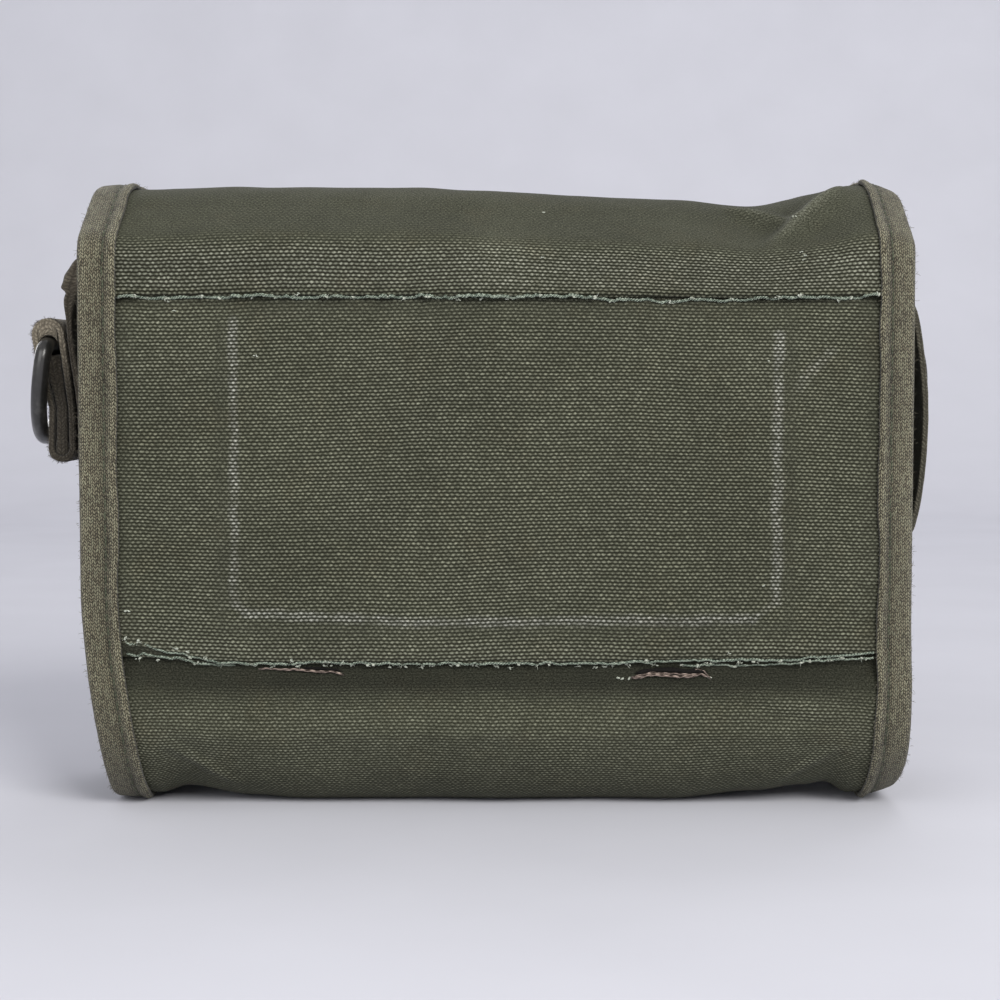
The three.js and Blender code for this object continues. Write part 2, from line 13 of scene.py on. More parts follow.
import bpy
import numpy as np
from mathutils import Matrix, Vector


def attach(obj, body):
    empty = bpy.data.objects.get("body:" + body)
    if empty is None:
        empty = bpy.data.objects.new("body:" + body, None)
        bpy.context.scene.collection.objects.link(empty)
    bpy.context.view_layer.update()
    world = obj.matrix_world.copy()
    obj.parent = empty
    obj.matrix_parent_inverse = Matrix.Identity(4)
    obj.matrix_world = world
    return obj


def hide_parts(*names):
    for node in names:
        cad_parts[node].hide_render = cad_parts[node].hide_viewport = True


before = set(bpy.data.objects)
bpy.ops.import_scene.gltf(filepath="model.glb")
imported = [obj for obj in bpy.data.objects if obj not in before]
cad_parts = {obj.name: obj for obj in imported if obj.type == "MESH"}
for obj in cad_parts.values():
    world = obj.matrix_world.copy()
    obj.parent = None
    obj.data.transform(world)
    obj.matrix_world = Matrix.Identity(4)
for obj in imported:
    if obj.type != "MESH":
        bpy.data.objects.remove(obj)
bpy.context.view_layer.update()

LOG = logging.getLogger("pouch")
MM = 0.001
TURN = 2 * math.pi
LATTICE = 128

Array = np.ndarray
Pair = Sequence[float]
Colour = tuple[float, float, float]
Material = bpy.types.Material
Piece = bpy.types.Object
Node = bpy.types.Node
Socket = bpy.types.NodeSocket
Tree = bpy.types.NodeTree
Feed = Union[float, Sequence[float], Socket, None]


class Side(Enum):
    """The two ends of the pouch, by the sign of X there."""

    LEFT = -1
    RIGHT = 1


class Body(Enum):
    """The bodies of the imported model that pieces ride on."""

    POUCH = "pouch"
    RING = "ring"


class Slot(Enum):
    """Names of the four finishes."""

    CANVAS = "canvas"
    TAPE = "binding_tape"
    WEBBING = "webbing"
    METAL = "blackened_metal"


def table(*rows: Union[float, Sequence[float]]) -> Array:
    """A dataclass field that holds numbers, or rows of them, as a new array."""
    return field(default_factory=lambda: np.array(rows))


def per_side(left: float, right: float) -> dict[Side, float]:
    """A dataclass field with a value for each end."""
    return field(default_factory=lambda: {Side.LEFT: left, Side.RIGHT: right})


def smoothstep(value: Array, low: Array, high: Array) -> Array:
    """Share of the way from low to high, eased at both ends by 3t^2 - 2t^3."""
    t = np.clip((np.asarray(value, float) - low) / (high - low), 0.0, 1.0)
    return t * t * (3.0 - 2.0 * t)


def eased(at: Array, places: Array, values: Array) -> Array:
    """A table's value at a place, eased from row to row and level past both ends."""
    k = np.clip(np.searchsorted(places, at), 1, len(places) - 1)
    return values[k - 1] + (values[k] - values[k - 1]) * smoothstep(at, places[k - 1], places[k])


def follow(rows: Array, x: Array) -> Array:
    """The second column of a table at places in its first, straight from row to row."""
    return np.interp(x, rows[:, 0], rows[:, 1])


def hump(off: Array, half: float) -> Array:
    """A smooth hump, (1 - (off / half)^2)^2, 0 from half on."""
    return np.maximum(0.0, 1.0 - (np.asarray(off, float) / half) ** 2) ** 2


def unit(vectors: Array) -> Array:
    """The vectors at length 1."""
    return vectors / np.maximum(np.linalg.norm(vectors, axis=-1, keepdims=True), 1e-12)


def noise(seed: int, cell: float, u: Array, v: Union[Array, float] = 0.0) -> Array:
    """Smooth noise from -1 to 1: random values on a square lattice of cells, eased between its corners.

    Args:
        seed: of the lattice.
        cell: the lattice's spacing in millimetres.
        u: places along the first parameter.
        v: places along the second.

    Returns:
        One value for each place.
    """
    lattice = np.random.default_rng(seed).uniform(-1.0, 1.0, (LATTICE, LATTICE))
    a, b = np.broadcast_arrays(np.asarray(u, float) / cell, np.asarray(v, float) / cell)
    i, j = np.floor(a).astype(int), np.floor(b).astype(int)
    s, t = smoothstep(a - i, 0.0, 1.0), smoothstep(b - j, 0.0, 1.0)
    i0, i1, j0, j1 = i % LATTICE, (i + 1) % LATTICE, j % LATTICE, (j + 1) % LATTICE
    low = lattice[i0, j0] * (1 - s) + lattice[i1, j0] * s
    high = lattice[i0, j1] * (1 - s) + lattice[i1, j1] * s
    return low * (1 - t) + high * t


def travelled(points: Array) -> Array:
    """Length along a line of points up to each of them."""
    steps = np.diff(points, axis=-2, prepend=points[..., :1, :])
    return np.linalg.norm(steps, axis=-1).cumsum(axis=-1)


def evenly(points: Array, count: int) -> Array:
    """A closed line of points drawn again with even spacing, its end not repeated.

    Args:
        points: the line in two coordinates, its first point again at its end.
        count: how many points to place.

    Returns:
        The new points.
    """
    length = travelled(points)
    at = np.linspace(0.0, length[-1], count + 1)[:-1]
    return np.column_stack([np.interp(at, length, points[:, k]) for k in range(2)])


def arc(centre: Pair, radii: Pair, start: float, stop: float, count: int) -> Array:
    """Points on an ellipse: centre + radii * (cos, sin) of angles from start to stop."""
    angle = np.linspace(start, stop, count)
    return np.column_stack([centre[0] + radii[0] * np.cos(angle), centre[1] + radii[1] * np.sin(angle)])


def bend(a: Pair, b: Pair, c: Pair, count: int) -> Array:
    """A quadratic curve from a to c that heads for b, with t from 0 to 1."""
    t = np.linspace(0.0, 1.0, count)[:, None]
    return (1 - t) ** 2 * np.array(a) + 2 * t * (1 - t) * np.array(b) + t**2 * np.array(c)


def circle(count: int, across: Array, rise: Array) -> Array:
    """Points of unit circles: across * cos + rise * sin of evenly spaced angles."""
    angle = TURN * np.arange(count)[:, None] / count
    return np.cos(angle) * across[..., None, :] + np.sin(angle) * rise[..., None, :]


def grid_faces(rows: int, columns: int, wrap: bool = False) -> Array:
    """The quads of a grid numbered along its columns first.

    Args:
        rows: number of rows.
        columns: number of columns.
        wrap: True joins the last column to the first.

    Returns:
        An array of four point numbers for each quad.
    """
    index = np.arange(rows * columns).reshape(rows, columns)
    if wrap:
        index = np.concatenate([index, index[:, :1]], axis=1)
    corners = [index[:-1, :-1], index[:-1, 1:], index[1:, 1:], index[1:, :-1]]
    return np.stack(corners, axis=-1).reshape(-1, 4)


def end_faces(rows: int, columns: int, width: int) -> Array:
    """The two faces that close a tube of rows, in a numbering of width points to a row."""
    ring = np.arange(columns)
    return np.stack([ring[::-1], ring + (rows - 1) * width])


def signed_volume(points: Array, faces: Sequence[Array]) -> float:
    """Six times the volume that faces enclose: the sum over their fans of a . (b x c).

    Args:
        points: one row each.
        faces: arrays of point numbers.

    Returns:
        The sum, below 0 where the faces point in.
    """
    fans = [f[:, [0, k, k + 1]] for f in faces for k in range(1, f.shape[1] - 1)]
    a, b, c = np.moveaxis(points[np.concatenate(fans)], 1, 0)
    return float(np.sum(a * np.cross(b, c)))


def write_mesh(
    name: str, points: Array, faces: Sequence[Array], cloth: Array,
    cloth_faces: Optional[Sequence[Array]] = None, values: Optional[dict[str, Array]] = None,
) -> Piece:
    """A smooth object at the origin from arrays, turned so that its faces point out.

    Args:
        name: the object's name.
        points: places in millimetres, one row each.
        faces: arrays of point numbers, one array for each number of corners.
        cloth: places on the flat cloth in millimetres, for the UV map.
        cloth_faces: rows of cloth for each face's corners, where they aren't the point numbers.
        values: named values, one for each point.

    Returns:
        The new object.
    """
    cloth_faces = faces if cloth_faces is None else cloth_faces
    if signed_volume(points, faces) < 0:
        faces, cloth_faces = ([f[:, ::-1] for f in group] for group in (faces, cloth_faces))
    corners, picks = (np.concatenate([f.ravel() for f in group]) for group in (faces, cloth_faces))
    sizes = np.concatenate([np.full(len(f), f.shape[1]) for f in faces])
    mesh = bpy.data.meshes.new(name)
    mesh.vertices.add(len(points))
    mesh.vertices.foreach_set("co", (points * MM).astype(np.float32).ravel())
    mesh.loops.add(len(corners))
    mesh.loops.foreach_set("vertex_index", corners.astype(np.int32))
    mesh.polygons.add(len(sizes))
    mesh.polygons.foreach_set("loop_start", (np.cumsum(sizes) - sizes).astype(np.int32))
    mesh.update(calc_edges=True)
    mesh.polygons.foreach_set("use_smooth", np.ones(len(sizes), dtype=bool))
    layer = mesh.uv_layers.new(name="cloth")
    layer.data.foreach_set("uv", cloth[picks].astype(np.float32).ravel())
    for key, column in (values or {}).items():
        layer = mesh.attributes.new(key, "FLOAT", "POINT")
        layer.data.foreach_set("value", np.asarray(column, np.float32).ravel())
    mesh.update()
    piece = bpy.data.objects.new(name, mesh)
    bpy.context.scene.collection.objects.link(piece)
    return piece


def cloth_wall(
    name: str, outer: Array, inner: Array, faces: Array, cloth: Array, values: dict[str, Array]
) -> Piece:
    """A closed wall of cloth between two skins that share their quads, joined round their open edges.

    An edge is open where no other quad runs along it the other way.

    Args:
        name: the object's name.
        outer: points of the outer skin.
        inner: points of the inner skin, in the same order.
        faces: quads of one skin.
        cloth: place of each point on the flat cloth.
        values: named values of each point of one skin.

    Returns:
        The new object.
    """
    outer, inner, cloth = outer.reshape(-1, 3), inner.reshape(-1, 3), cloth.reshape(-1, 2)
    n = len(outer)
    edges = np.stack([faces, np.roll(faces, -1, axis=1)], axis=-1).reshape(-1, 2)
    rim = edges[~np.isin(edges @ np.array([n, 1]), edges @ np.array([1, n]))]
    sides = np.stack([rim[:, 1], rim[:, 0], rim[:, 0] + n, rim[:, 1] + n], axis=-1)
    quads = np.concatenate([faces, faces[:, ::-1] + n, sides])
    doubled = {key: np.concatenate([v.ravel(), v.ravel()]) for key, v in values.items()}
    return write_mesh(name, np.vstack([outer, inner]), [quads], np.vstack([cloth, cloth]), None, doubled)


def swept_mesh(
    name: str, sections: Array, u: Array, v: Array, closed: bool = False,
    values: Optional[dict[str, Array]] = None,
) -> Piece:
    """A closed profile carried along a path: section k's loop of points joined to section k + 1's.

    Args:
        name: the object's name.
        sections: points by section and by place round the loop.
        u: places on the flat cloth round the loop, with its start again at its end.
        v: places on it along the path, with one more if closed.
        closed: True joins the last section to the first; otherwise the ends are faced.
        values: named values of each point.

    Returns:
        The new object.
    """
    rows, columns = sections.shape[:2]
    cloth = np.stack(np.broadcast_arrays(u[None], v[:, None]), axis=-1).reshape(-1, 2)
    faces, cloth_faces = [grid_faces(rows, columns, wrap=True)], [grid_faces(len(v), columns + 1)]
    if closed:
        first, last = np.arange(columns), np.arange(columns) + (rows - 1) * columns
        join = np.stack([last, np.roll(last, -1), np.roll(first, -1), first], axis=-1)
        faces = [np.concatenate([*faces, join])]
    else:
        faces.append(end_faces(rows, columns, columns))
        cloth_faces.append(end_faces(rows, columns, columns + 1))
    return write_mesh(name, sections.reshape(-1, 3), faces, cloth, cloth_faces, values)


def strand_mesh(name: str, paths: Array, radii: Array, sides: int, up: Array) -> Piece:
    """Many round strands in one mesh: circles about each path's points, square to the path, with faced ends.

    A circle lies across the path's tangent, on the axes tangent x up and the one square to both.

    Args:
        name: the object's name.
        paths: points by strand and by place along it.
        radii: radius at each of those points, or one for each place along any strand.
        sides: points round each circle.
        up: a direction that no strand runs along, one for all or one for each point.

    Returns:
        The new object.
    """
    count, steps = paths.shape[:2]
    tangent = unit(np.gradient(paths, axis=1))
    across = unit(np.cross(tangent, np.broadcast_to(up, paths.shape)))
    ring = circle(sides, across, np.cross(across, tangent))
    points = paths[:, :, None] + np.broadcast_to(radii, (count, steps))[:, :, None, None] * ring
    shift = (np.arange(count) * steps * sides)[:, None, None]
    faces = (grid_faces(steps, sides, wrap=True) + shift).reshape(-1, 4)
    caps = (end_faces(steps, sides, sides) + shift).reshape(-1, sides)
    along, turn = np.broadcast_arrays(travelled(paths)[:, :, None], np.arange(sides) / sides)
    return write_mesh(
        name, points.reshape(-1, 3), [faces, caps], np.stack([along, turn], axis=-1).reshape(-1, 2),
    )


@dataclass
class WrapLine:
    """The pouch's side outline as one line in Y and Z, from the front panel's top edge to the flap's end."""

    front_y: float = 34.0
    flap_y: float = 38.2
    back_y: float = -36.0
    mouth_z: float = 144.0
    roof_z: float = 160.0
    flap_end_z: float = 58.0
    front_corner: float = 20.0
    back_corner_depth: float = 26.0
    back_corner_height: float = 38.0
    shoulder_z: float = 139.0
    shoulder_radius: float = 9.0
    pitch: float = math.radians(33.0)
    ridge_radius: float = 30.0
    flap_corner: float = 16.0
    lower_seam_z: float = 39.0
    upper_seam_z: float = 131.0
    samples: int = 240
    ends: dict[str, float] = field(init=False)
    trace: Array = field(init=False, repr=False)

    def __post_init__(self) -> None:
        """Traces the stretches and keeps length, place and outward normal at each point of the trace."""
        runs = self.stretches()
        line = np.vstack([run if k == 0 else run[1:] for k, (_, run) in enumerate(runs)])
        s = travelled(line)
        counts = np.cumsum([len(run) - 1 for _, run in runs])
        self.ends = {name: float(s[count]) for (name, _), count in zip(runs, counts)}
        tangent = unit(np.gradient(line, s, axis=0))
        self.trace = np.column_stack([s, line, -tangent[:, 1], tangent[:, 0]])

    def stretches(self) -> list[tuple[str, Array]]:
        """Straight and rounded stretches in order; a rounded one is centre + radii * (cos, sin) of an angle.

        Returns:
            Each stretch's name and its points in Y and Z.
        """
        quarter, turn = math.pi / 2, math.pi / 2 + self.pitch
        round_front, round_flap, round_ridge = self.front_corner, self.flap_corner, self.ridge_radius
        shoulder = np.array([self.back_y + self.shoulder_radius, self.shoulder_z])
        slope = shoulder + self.shoulder_radius * np.array([math.cos(turn), math.sin(turn)])
        peak_z, ridge_z = self.roof_z - round_ridge, self.roof_z - round_ridge * (1.0 - math.sin(turn))
        ridge_start = slope[0] + (ridge_z - slope[1]) / math.tan(self.pitch)
        ridge_y = ridge_start - round_ridge * math.cos(turn)
        front_y, back_y = self.front_y - round_front, self.back_y + self.back_corner_depth
        back_z, flap_y, flap_z = self.back_corner_height, self.flap_y - round_flap, self.roof_z - round_flap

        def straight(start: Pair, stop: Pair) -> Array:
            """Evenly spaced points on a straight."""
            return np.linspace(start, stop, self.samples)

        def rounded(centre: Pair, radii: Pair, start: float, stop: float) -> Array:
            """Points on an arc of an ellipse."""
            return arc(centre, radii, start, stop, self.samples)

        return [
            ("front", straight((self.front_y, self.mouth_z), (self.front_y, round_front))),
            ("front_corner", rounded((front_y, round_front), (round_front, round_front), 0.0, -quarter)),
            ("base", straight((front_y, 0.0), (back_y, 0.0))),
            ("back_corner", rounded((back_y, back_z), (self.back_corner_depth, back_z), -quarter, -math.pi)),
            ("back", straight((self.back_y, back_z), (self.back_y, self.shoulder_z))),
            ("shoulder", rounded(shoulder, (self.shoulder_radius, self.shoulder_radius), math.pi, turn)),
            ("slope", straight(slope, (ridge_start, ridge_z))),
            ("ridge", rounded((ridge_y, peak_z), (round_ridge, round_ridge), turn, quarter)),
            ("roof", straight((ridge_y, self.roof_z), (flap_y, self.roof_z))),
            ("flap_corner", rounded((flap_y, flap_z), (round_flap, round_flap), quarter, 0.0)),
            ("flap_front", straight((self.flap_y, flap_z), (self.flap_y, self.flap_end_z))),
        ]

    @property
    def length(self) -> float:
        """Length of the whole line."""
        return float(self.trace[-1, 0])

    @property
    def lower_seam(self) -> float:
        """Length along the line to the lower seam."""
        return self.ends["back_corner"] + self.lower_seam_z - self.back_corner_height

    @property
    def upper_seam(self) -> float:
        """Length along the line to the upper seam."""
        return self.ends["back_corner"] + self.upper_seam_z - self.back_corner_height

    def at(self, s: Array) -> tuple[Array, ...]:
        """Y, Z and the outward normal's Y and Z at lengths along the line."""
        return tuple(np.interp(s, self.trace[:, 0], column) for column in self.trace.T[1:])


@dataclass(frozen=True)
class Crease:
    """A raised (or, with a negative rise, sunk) line in the cloth between two places, in x and s."""

    x0: float
    s0: float
    x1: float
    s1: float
    rise: float
    half: float

    def shape(self, x: Array, s: Array) -> Array:
        """Share of the crease's rise at a place: a half sine along the line times a hump across it.

        Args:
            x: places across.
            s: places along the wrap.

        Returns:
            Values from 0 to 1.
        """
        dx, ds = self.x1 - self.x0, self.s1 - self.s0
        length = math.hypot(dx, ds)
        t = ((x - self.x0) * dx + (s - self.s0) * ds) / length**2
        off = ((x - self.x0) * ds - (s - self.s0) * dx) / length
        return np.sin(np.pi * np.clip(t, 0.0, 1.0)) * hump(off, self.half)

    def height(self, x: Array, s: Array) -> Array:
        """The crease's rise at a place."""
        return self.rise * self.shape(x, s)


@dataclass
class PouchForm:
    """The filled pouch: its wrap, how the top sags and the base lifts, and how far the sides swell."""

    line: WrapLine = field(default_factory=WrapLine)
    canvas: float = 1.2
    layer: float = 1.5
    body_half: float = 95.0
    flange: float = 8.6
    lean: dict[Side, float] = per_side(math.radians(3.0), math.radians(20.0))
    base_lean: dict[Side, float] = per_side(math.radians(3.0), math.radians(5.0))
    taper: dict[Side, float] = per_side(4.0, 0.2)
    taper_heights: tuple[float, float] = (5.0, 58.0)
    sag_heights: tuple[float, float] = (125.0, 158.0)
    lift_height: float = 24.0
    behind_fade: float = 32.0
    belly: float = 2.5
    recess: tuple[float, float, float] = (2.5, 29.0, 9.5)
    overlap: float = 9.0
    ramp: float = 5.0
    soften: float = 4.0
    # x, roof drop, base lift
    outline: Array = table(
        (-92.0, -0.3, 1.6), (-84.0, -0.8, 3.4), (-66.0, -1.5, 0.9), (-52.0, -1.5, 0.0), (-20.0, -0.6, 0.0),
        (27.0, 1.5, 0.0), (45.0, 2.5, 0.0), (67.0, 4.6, 2.0), (80.0, 2.1, 3.6), (86.0, 0.4, 4.4),
        (92.0, -1.5, 1.6),
    )
    # z, left swell, right swell
    swells: Array = table(
        (0.0, 0.0, 0.0), (55.0, 11.5, 10.2), (80.0, 12.2, 10.6), (100.0, 12.4, 10.6), (126.0, 15.1, 10.0),
        (142.0, 10.5, 7.0), (158.0, 2.0, 1.5),
    )

    @property
    def middle_y(self) -> float:
        """Y halfway between the front and the back."""
        return (self.line.front_y + self.line.back_y) / 2

    def folds(self) -> tuple[Crease, Crease]:
        """The flap's two folds at its right end.

        Returns:
            The long one and the short one.
        """
        seam = self.line.upper_seam
        long_fold = Crease(66.0, seam + 14.0, 92.0, seam + 44.0, 2.0, 6.0)
        return long_fold, Crease(58.0, seam + 40.0, 76.0, seam + 26.0, 1.2, 5.0)

    def low_share(self, z: Array) -> Array:
        """Share of the full taper towards the base at a height."""
        return 1.0 - smoothstep(z, *self.taper_heights)

    def by_side(self, x: Array, values: dict[Side, float]) -> Array:
        """A side's value for each place across."""
        return np.where(np.asarray(x) < 0, values[Side.LEFT], values[Side.RIGHT])

    def point(self, x: Array, s: Array, out: Array) -> Array:
        """Places on the wrap; past the body's edge they lie on the turned-out flange, which leans in.

        The line's point at s is moved along its normal by out, the front's belly, the folds and the recess
        under the lower seam, and then down by the roof's sag and up by the base's lift at that x. Towards
        the base both ends are drawn in by the taper.

        Args:
            x: places across.
            s: lengths along the wrap.
            out: distance out from the wrap's outer face.

        Returns:
            Points in X, Y and Z.
        """
        x, s, out = np.broadcast_arrays(np.asarray(x, float), np.asarray(s, float), np.asarray(out, float))
        line, places = self.line, self.outline[:, 0]
        y, z, ny, nz = line.at(s)
        inside = np.clip(x, -self.body_half, self.body_half)
        past = np.abs(x - inside)
        low = self.low_share(z)
        behind = smoothstep(s, line.ends["base"], line.ends["base"] + self.behind_fade)
        lean = self.by_side(x, self.lean)
        lean = lean + (self.by_side(x, self.base_lean) - lean) * low * behind
        narrow = self.by_side(x, self.taper) * low * (inside / self.body_half) ** 4
        near = (eased(x + k, places, self.outline[:, 1]) for k in (-self.soften, 0.0, self.soften))
        drop = sum(near) / 3.0 * smoothstep(z, *self.sag_heights)
        lift = eased(x, places, self.outline[:, 2]) * (1.0 - smoothstep(z, 0.0, self.lift_height))
        on_front = (s < line.ends["front"]) | (s > line.ends["flap_corner"])
        belly = self.belly * (1.0 - (inside / self.body_half) ** 2) * np.sin(np.pi * z / line.mouth_z)
        depth, middle, half = self.recess
        under = (s >= line.ends["base"]) & (s <= line.lower_seam)
        recess = depth * hump(z - middle, half) * (1.0 - (inside / self.body_half) ** 6)
        fold = sum(crease.height(x, s) for crease in self.folds())
        reach = out + belly * on_front + fold - recess * under - past * np.sin(lean)
        across = inside + np.sign(x) * (past * np.cos(lean) - narrow)
        return np.stack([across, y + ny * reach, z + nz * reach - drop + lift], axis=-1)

    def normal(self, x: Array, s: Array) -> Array:
        """Which way the wrap faces at each place."""
        return unit(self.point(x, s, 0.5) - self.point(x, s, 0.0))

    def back_s(self, z: Array) -> Array:
        """Length along the wrap at a height on its upright back."""
        return np.asarray(z, float) + self.line.ends["back_corner"] - self.line.back_corner_height

    def doubled(self, s: Array) -> Array:
        """Share of a second cloth layer under the outer one, 1 along each seam's overlap.

        Args:
            s: places along the wrap.

        Returns:
            Values from 0 to 1.
        """

        def overlap(seam: float) -> Array:
            """The share at one seam."""
            stop = seam + self.overlap
            return smoothstep(s, seam - self.ramp, seam) * (1.0 - smoothstep(s, stop, stop + self.ramp))

        return overlap(self.line.lower_seam) + overlap(self.line.upper_seam)

    def swell(self, side: Side, y: Array, z: Array) -> Array:
        """How far a side panel stands out: the table's value in height times a crown across the depth.

        Args:
            side: which end.
            y: places in depth.
            z: places in height.

        Returns:
            Distances in millimetres.
        """
        half = (self.line.front_y - self.line.back_y) / 2 - self.layer - self.canvas
        off = np.minimum(1.0, np.abs(np.asarray(y, float) - self.middle_y) / half)
        column = 1 if side is Side.LEFT else 2
        return eased(z, self.swells[:, 0], self.swells[:, column]) * (1.0 - off**3) ** 1.3


def rgba(colour: Colour) -> tuple[float, float, float, float]:
    """The colour with full alpha."""
    return (*colour, 1.0)


class NodeSheet:
    """Writes a node tree as short sums."""

    def __init__(self, tree: Tree) -> None:
        """Keeps the tree that nodes are added to."""
        self.tree = tree

    def feed(self, socket: Socket, value: Feed) -> None:
        """Links a socket to the input, or sets its number or colour there.

        Args:
            socket: where it goes in.
            value: what goes in; None leaves the socket as it is.
        """
        if isinstance(value, Socket):
            self.tree.links.new(value, socket)
        elif value is not None:
            socket.default_value = value

    def add(self, kind: str, *inputs: Feed, **settings: object) -> Node:
        """A new node.

        Args:
            kind: the node's type name.
            inputs: what goes in its sockets, in order.
            settings: its own settings.

        Returns:
            The node.
        """
        node = self.tree.nodes.new(kind)
        for key, value in settings.items():
            setattr(node, key, value)
        for socket, value in zip(node.inputs, inputs):
            self.feed(socket, value)
        return node

    def math(self, operation: str, *terms: Feed) -> Socket:
        """A sum of numbers."""
        return self.add("ShaderNodeMath", *terms, operation=operation).outputs[0]

    def times(self, *terms: Feed) -> Socket:
        """The product of two numbers or more."""
        return functools.reduce(functools.partial(self.math, "MULTIPLY"), terms)

    def line(self, value: Feed, slope: Feed, start: Feed) -> Socket:
        """A straight line: value * slope + start."""
        return self.math("MULTIPLY_ADD", value, slope, start)

    def clipped(self, value: Feed) -> Socket:
        """The number kept from 0 to 1."""
        return self.math("MINIMUM", self.math("MAXIMUM", value, 0.0), 1.0)

    def wave(self, beat: Feed) -> Socket:
        """A raised cosine, 1 at whole numbers and 0 halfway between them."""
        return self.line(self.math("COSINE", self.times(beat, TURN)), 0.5, 0.5)

    def off_middle(self, part: Feed) -> Socket:
        """How far a share from 0 to 1 is from one half, as 0 to 1."""
        return self.math("ABSOLUTE", self.line(part, 2.0, -1.0))

    def lanes(self, place: Feed, pitch: Feed) -> tuple[Socket, Socket]:
        """Divides a line into lanes.

        Args:
            place: where on the line.
            pitch: the width of a lane.

        Returns:
            The lane's number and the share of the way across it.
        """
        lane = self.math("DIVIDE", place, pitch)
        number = self.math("FLOOR", lane)
        return number, self.math("SUBTRACT", lane, number)

    def vector(self, operation: str, *terms: Feed) -> Socket:
        """A sum of vectors; a length or a dot product comes out as a number."""
        node = self.add("ShaderNodeVectorMath", *terms, operation=operation)
        return node.outputs["Value" if operation in ("LENGTH", "DOT_PRODUCT") else "Vector"]

    def band(self, value: Feed, low: Feed, high: Feed, start: Feed = 0.0, stop: Feed = 1.0) -> Socket:
        """Eases a number from one range to another."""
        terms = (value, low, high, start, stop)
        return self.add("ShaderNodeMapRange", *terms, interpolation_type="SMOOTHSTEP").outputs[0]

    def mix(self, share: Feed, first: Feed, second: Feed, blend: str = "MIX") -> Socket:
        """Mixes two colours.

        Args:
            share: how much of the second.
            first: a colour.
            second: a colour.
            blend: how they mix.

        Returns:
            The mixed colour.
        """
        node = self.add("ShaderNodeMix", share, data_type="RGBA", blend_type=blend)
        for k, colour in ((6, first), (7, second)):
            self.feed(node.inputs[k], colour if isinstance(colour, Socket) else rgba(colour))
        return node.outputs[2]

    def shaded(self, colour: Feed, shade: Feed) -> Socket:
        """A colour times a number."""
        return self.mix(1.0, colour, self.join(shade, shade, shade), "MULTIPLY")

    def cloud(self, place: Feed, scale: float, detail: float = 2.0, rough: float = 0.5) -> Node:
        """Smooth noise; its first output is a number and its second a colour."""
        return self.add("ShaderNodeTexNoise", place, None, scale, detail, rough, noise_dimensions="3D")

    def noise(self, place: Feed, *settings: float) -> Socket:
        """Smooth noise as a number."""
        return self.cloud(place, *settings).outputs[0]

    def swayed(self, place: Feed, reach: Sequence[float], at: Feed, *settings: float) -> Socket:
        """A place moved by up to half of reach either way, by noise read at another."""
        sway = self.vector("SUBTRACT", self.cloud(at, *settings).outputs[1], (0.5, 0.5, 0.5))
        return self.vector("MULTIPLY_ADD", sway, reach, place)

    def chance(self, place: Feed) -> Socket:
        """A random number for each place."""
        return self.add("ShaderNodeTexWhiteNoise", place, noise_dimensions="3D").outputs["Value"]

    def split(self, place: Feed) -> tuple[Socket, ...]:
        """A vector's three numbers."""
        return tuple(self.add("ShaderNodeSeparateXYZ", place).outputs)

    def join(self, x: Feed, y: Feed, z: Feed = 0.0) -> Socket:
        """A vector from three numbers."""
        return self.add("ShaderNodeCombineXYZ", x, y, z).outputs[0]

    def use(self, group: Tree, **inputs: Feed) -> dict[str, Socket]:
        """Places a node group.

        Args:
            group: the group.
            inputs: what goes in it, by name.

        Returns:
            Its outputs by name.
        """
        node = self.add("ShaderNodeGroup", node_tree=group)
        for name, value in inputs.items():
            self.feed(node.inputs[name], value)
        return {socket.name: socket for socket in node.outputs}


class GroupSheet(NodeSheet):
    """A node group being written, with its inputs and outputs."""

    def __init__(self, name: str, inputs: dict[str, str], outputs: Sequence[str]) -> None:
        """Makes the group's sockets and its end nodes.

        Args:
            name: the group's name.
            inputs: each input's name and kind.
            outputs: the outputs' names.
        """
        super().__init__(bpy.data.node_groups.new(name, "ShaderNodeTree"))
        for key, kind in inputs.items():
            self.tree.interface.new_socket(key, in_out="INPUT", socket_type=f"NodeSocket{kind}")
        for key in outputs:
            self.tree.interface.new_socket(key, in_out="OUTPUT", socket_type="NodeSocketFloat")
        self.given = self.add("NodeGroupInput").outputs
        self.made = self.add("NodeGroupOutput").inputs

    def give(self, **values: Socket) -> Tree:
        """Sets the group's outputs.

        Args:
            values: what comes out, by name.

        Returns:
            The finished group.
        """
        for name, value in values.items():
            self.feed(self.made[name], value)
        return self.tree


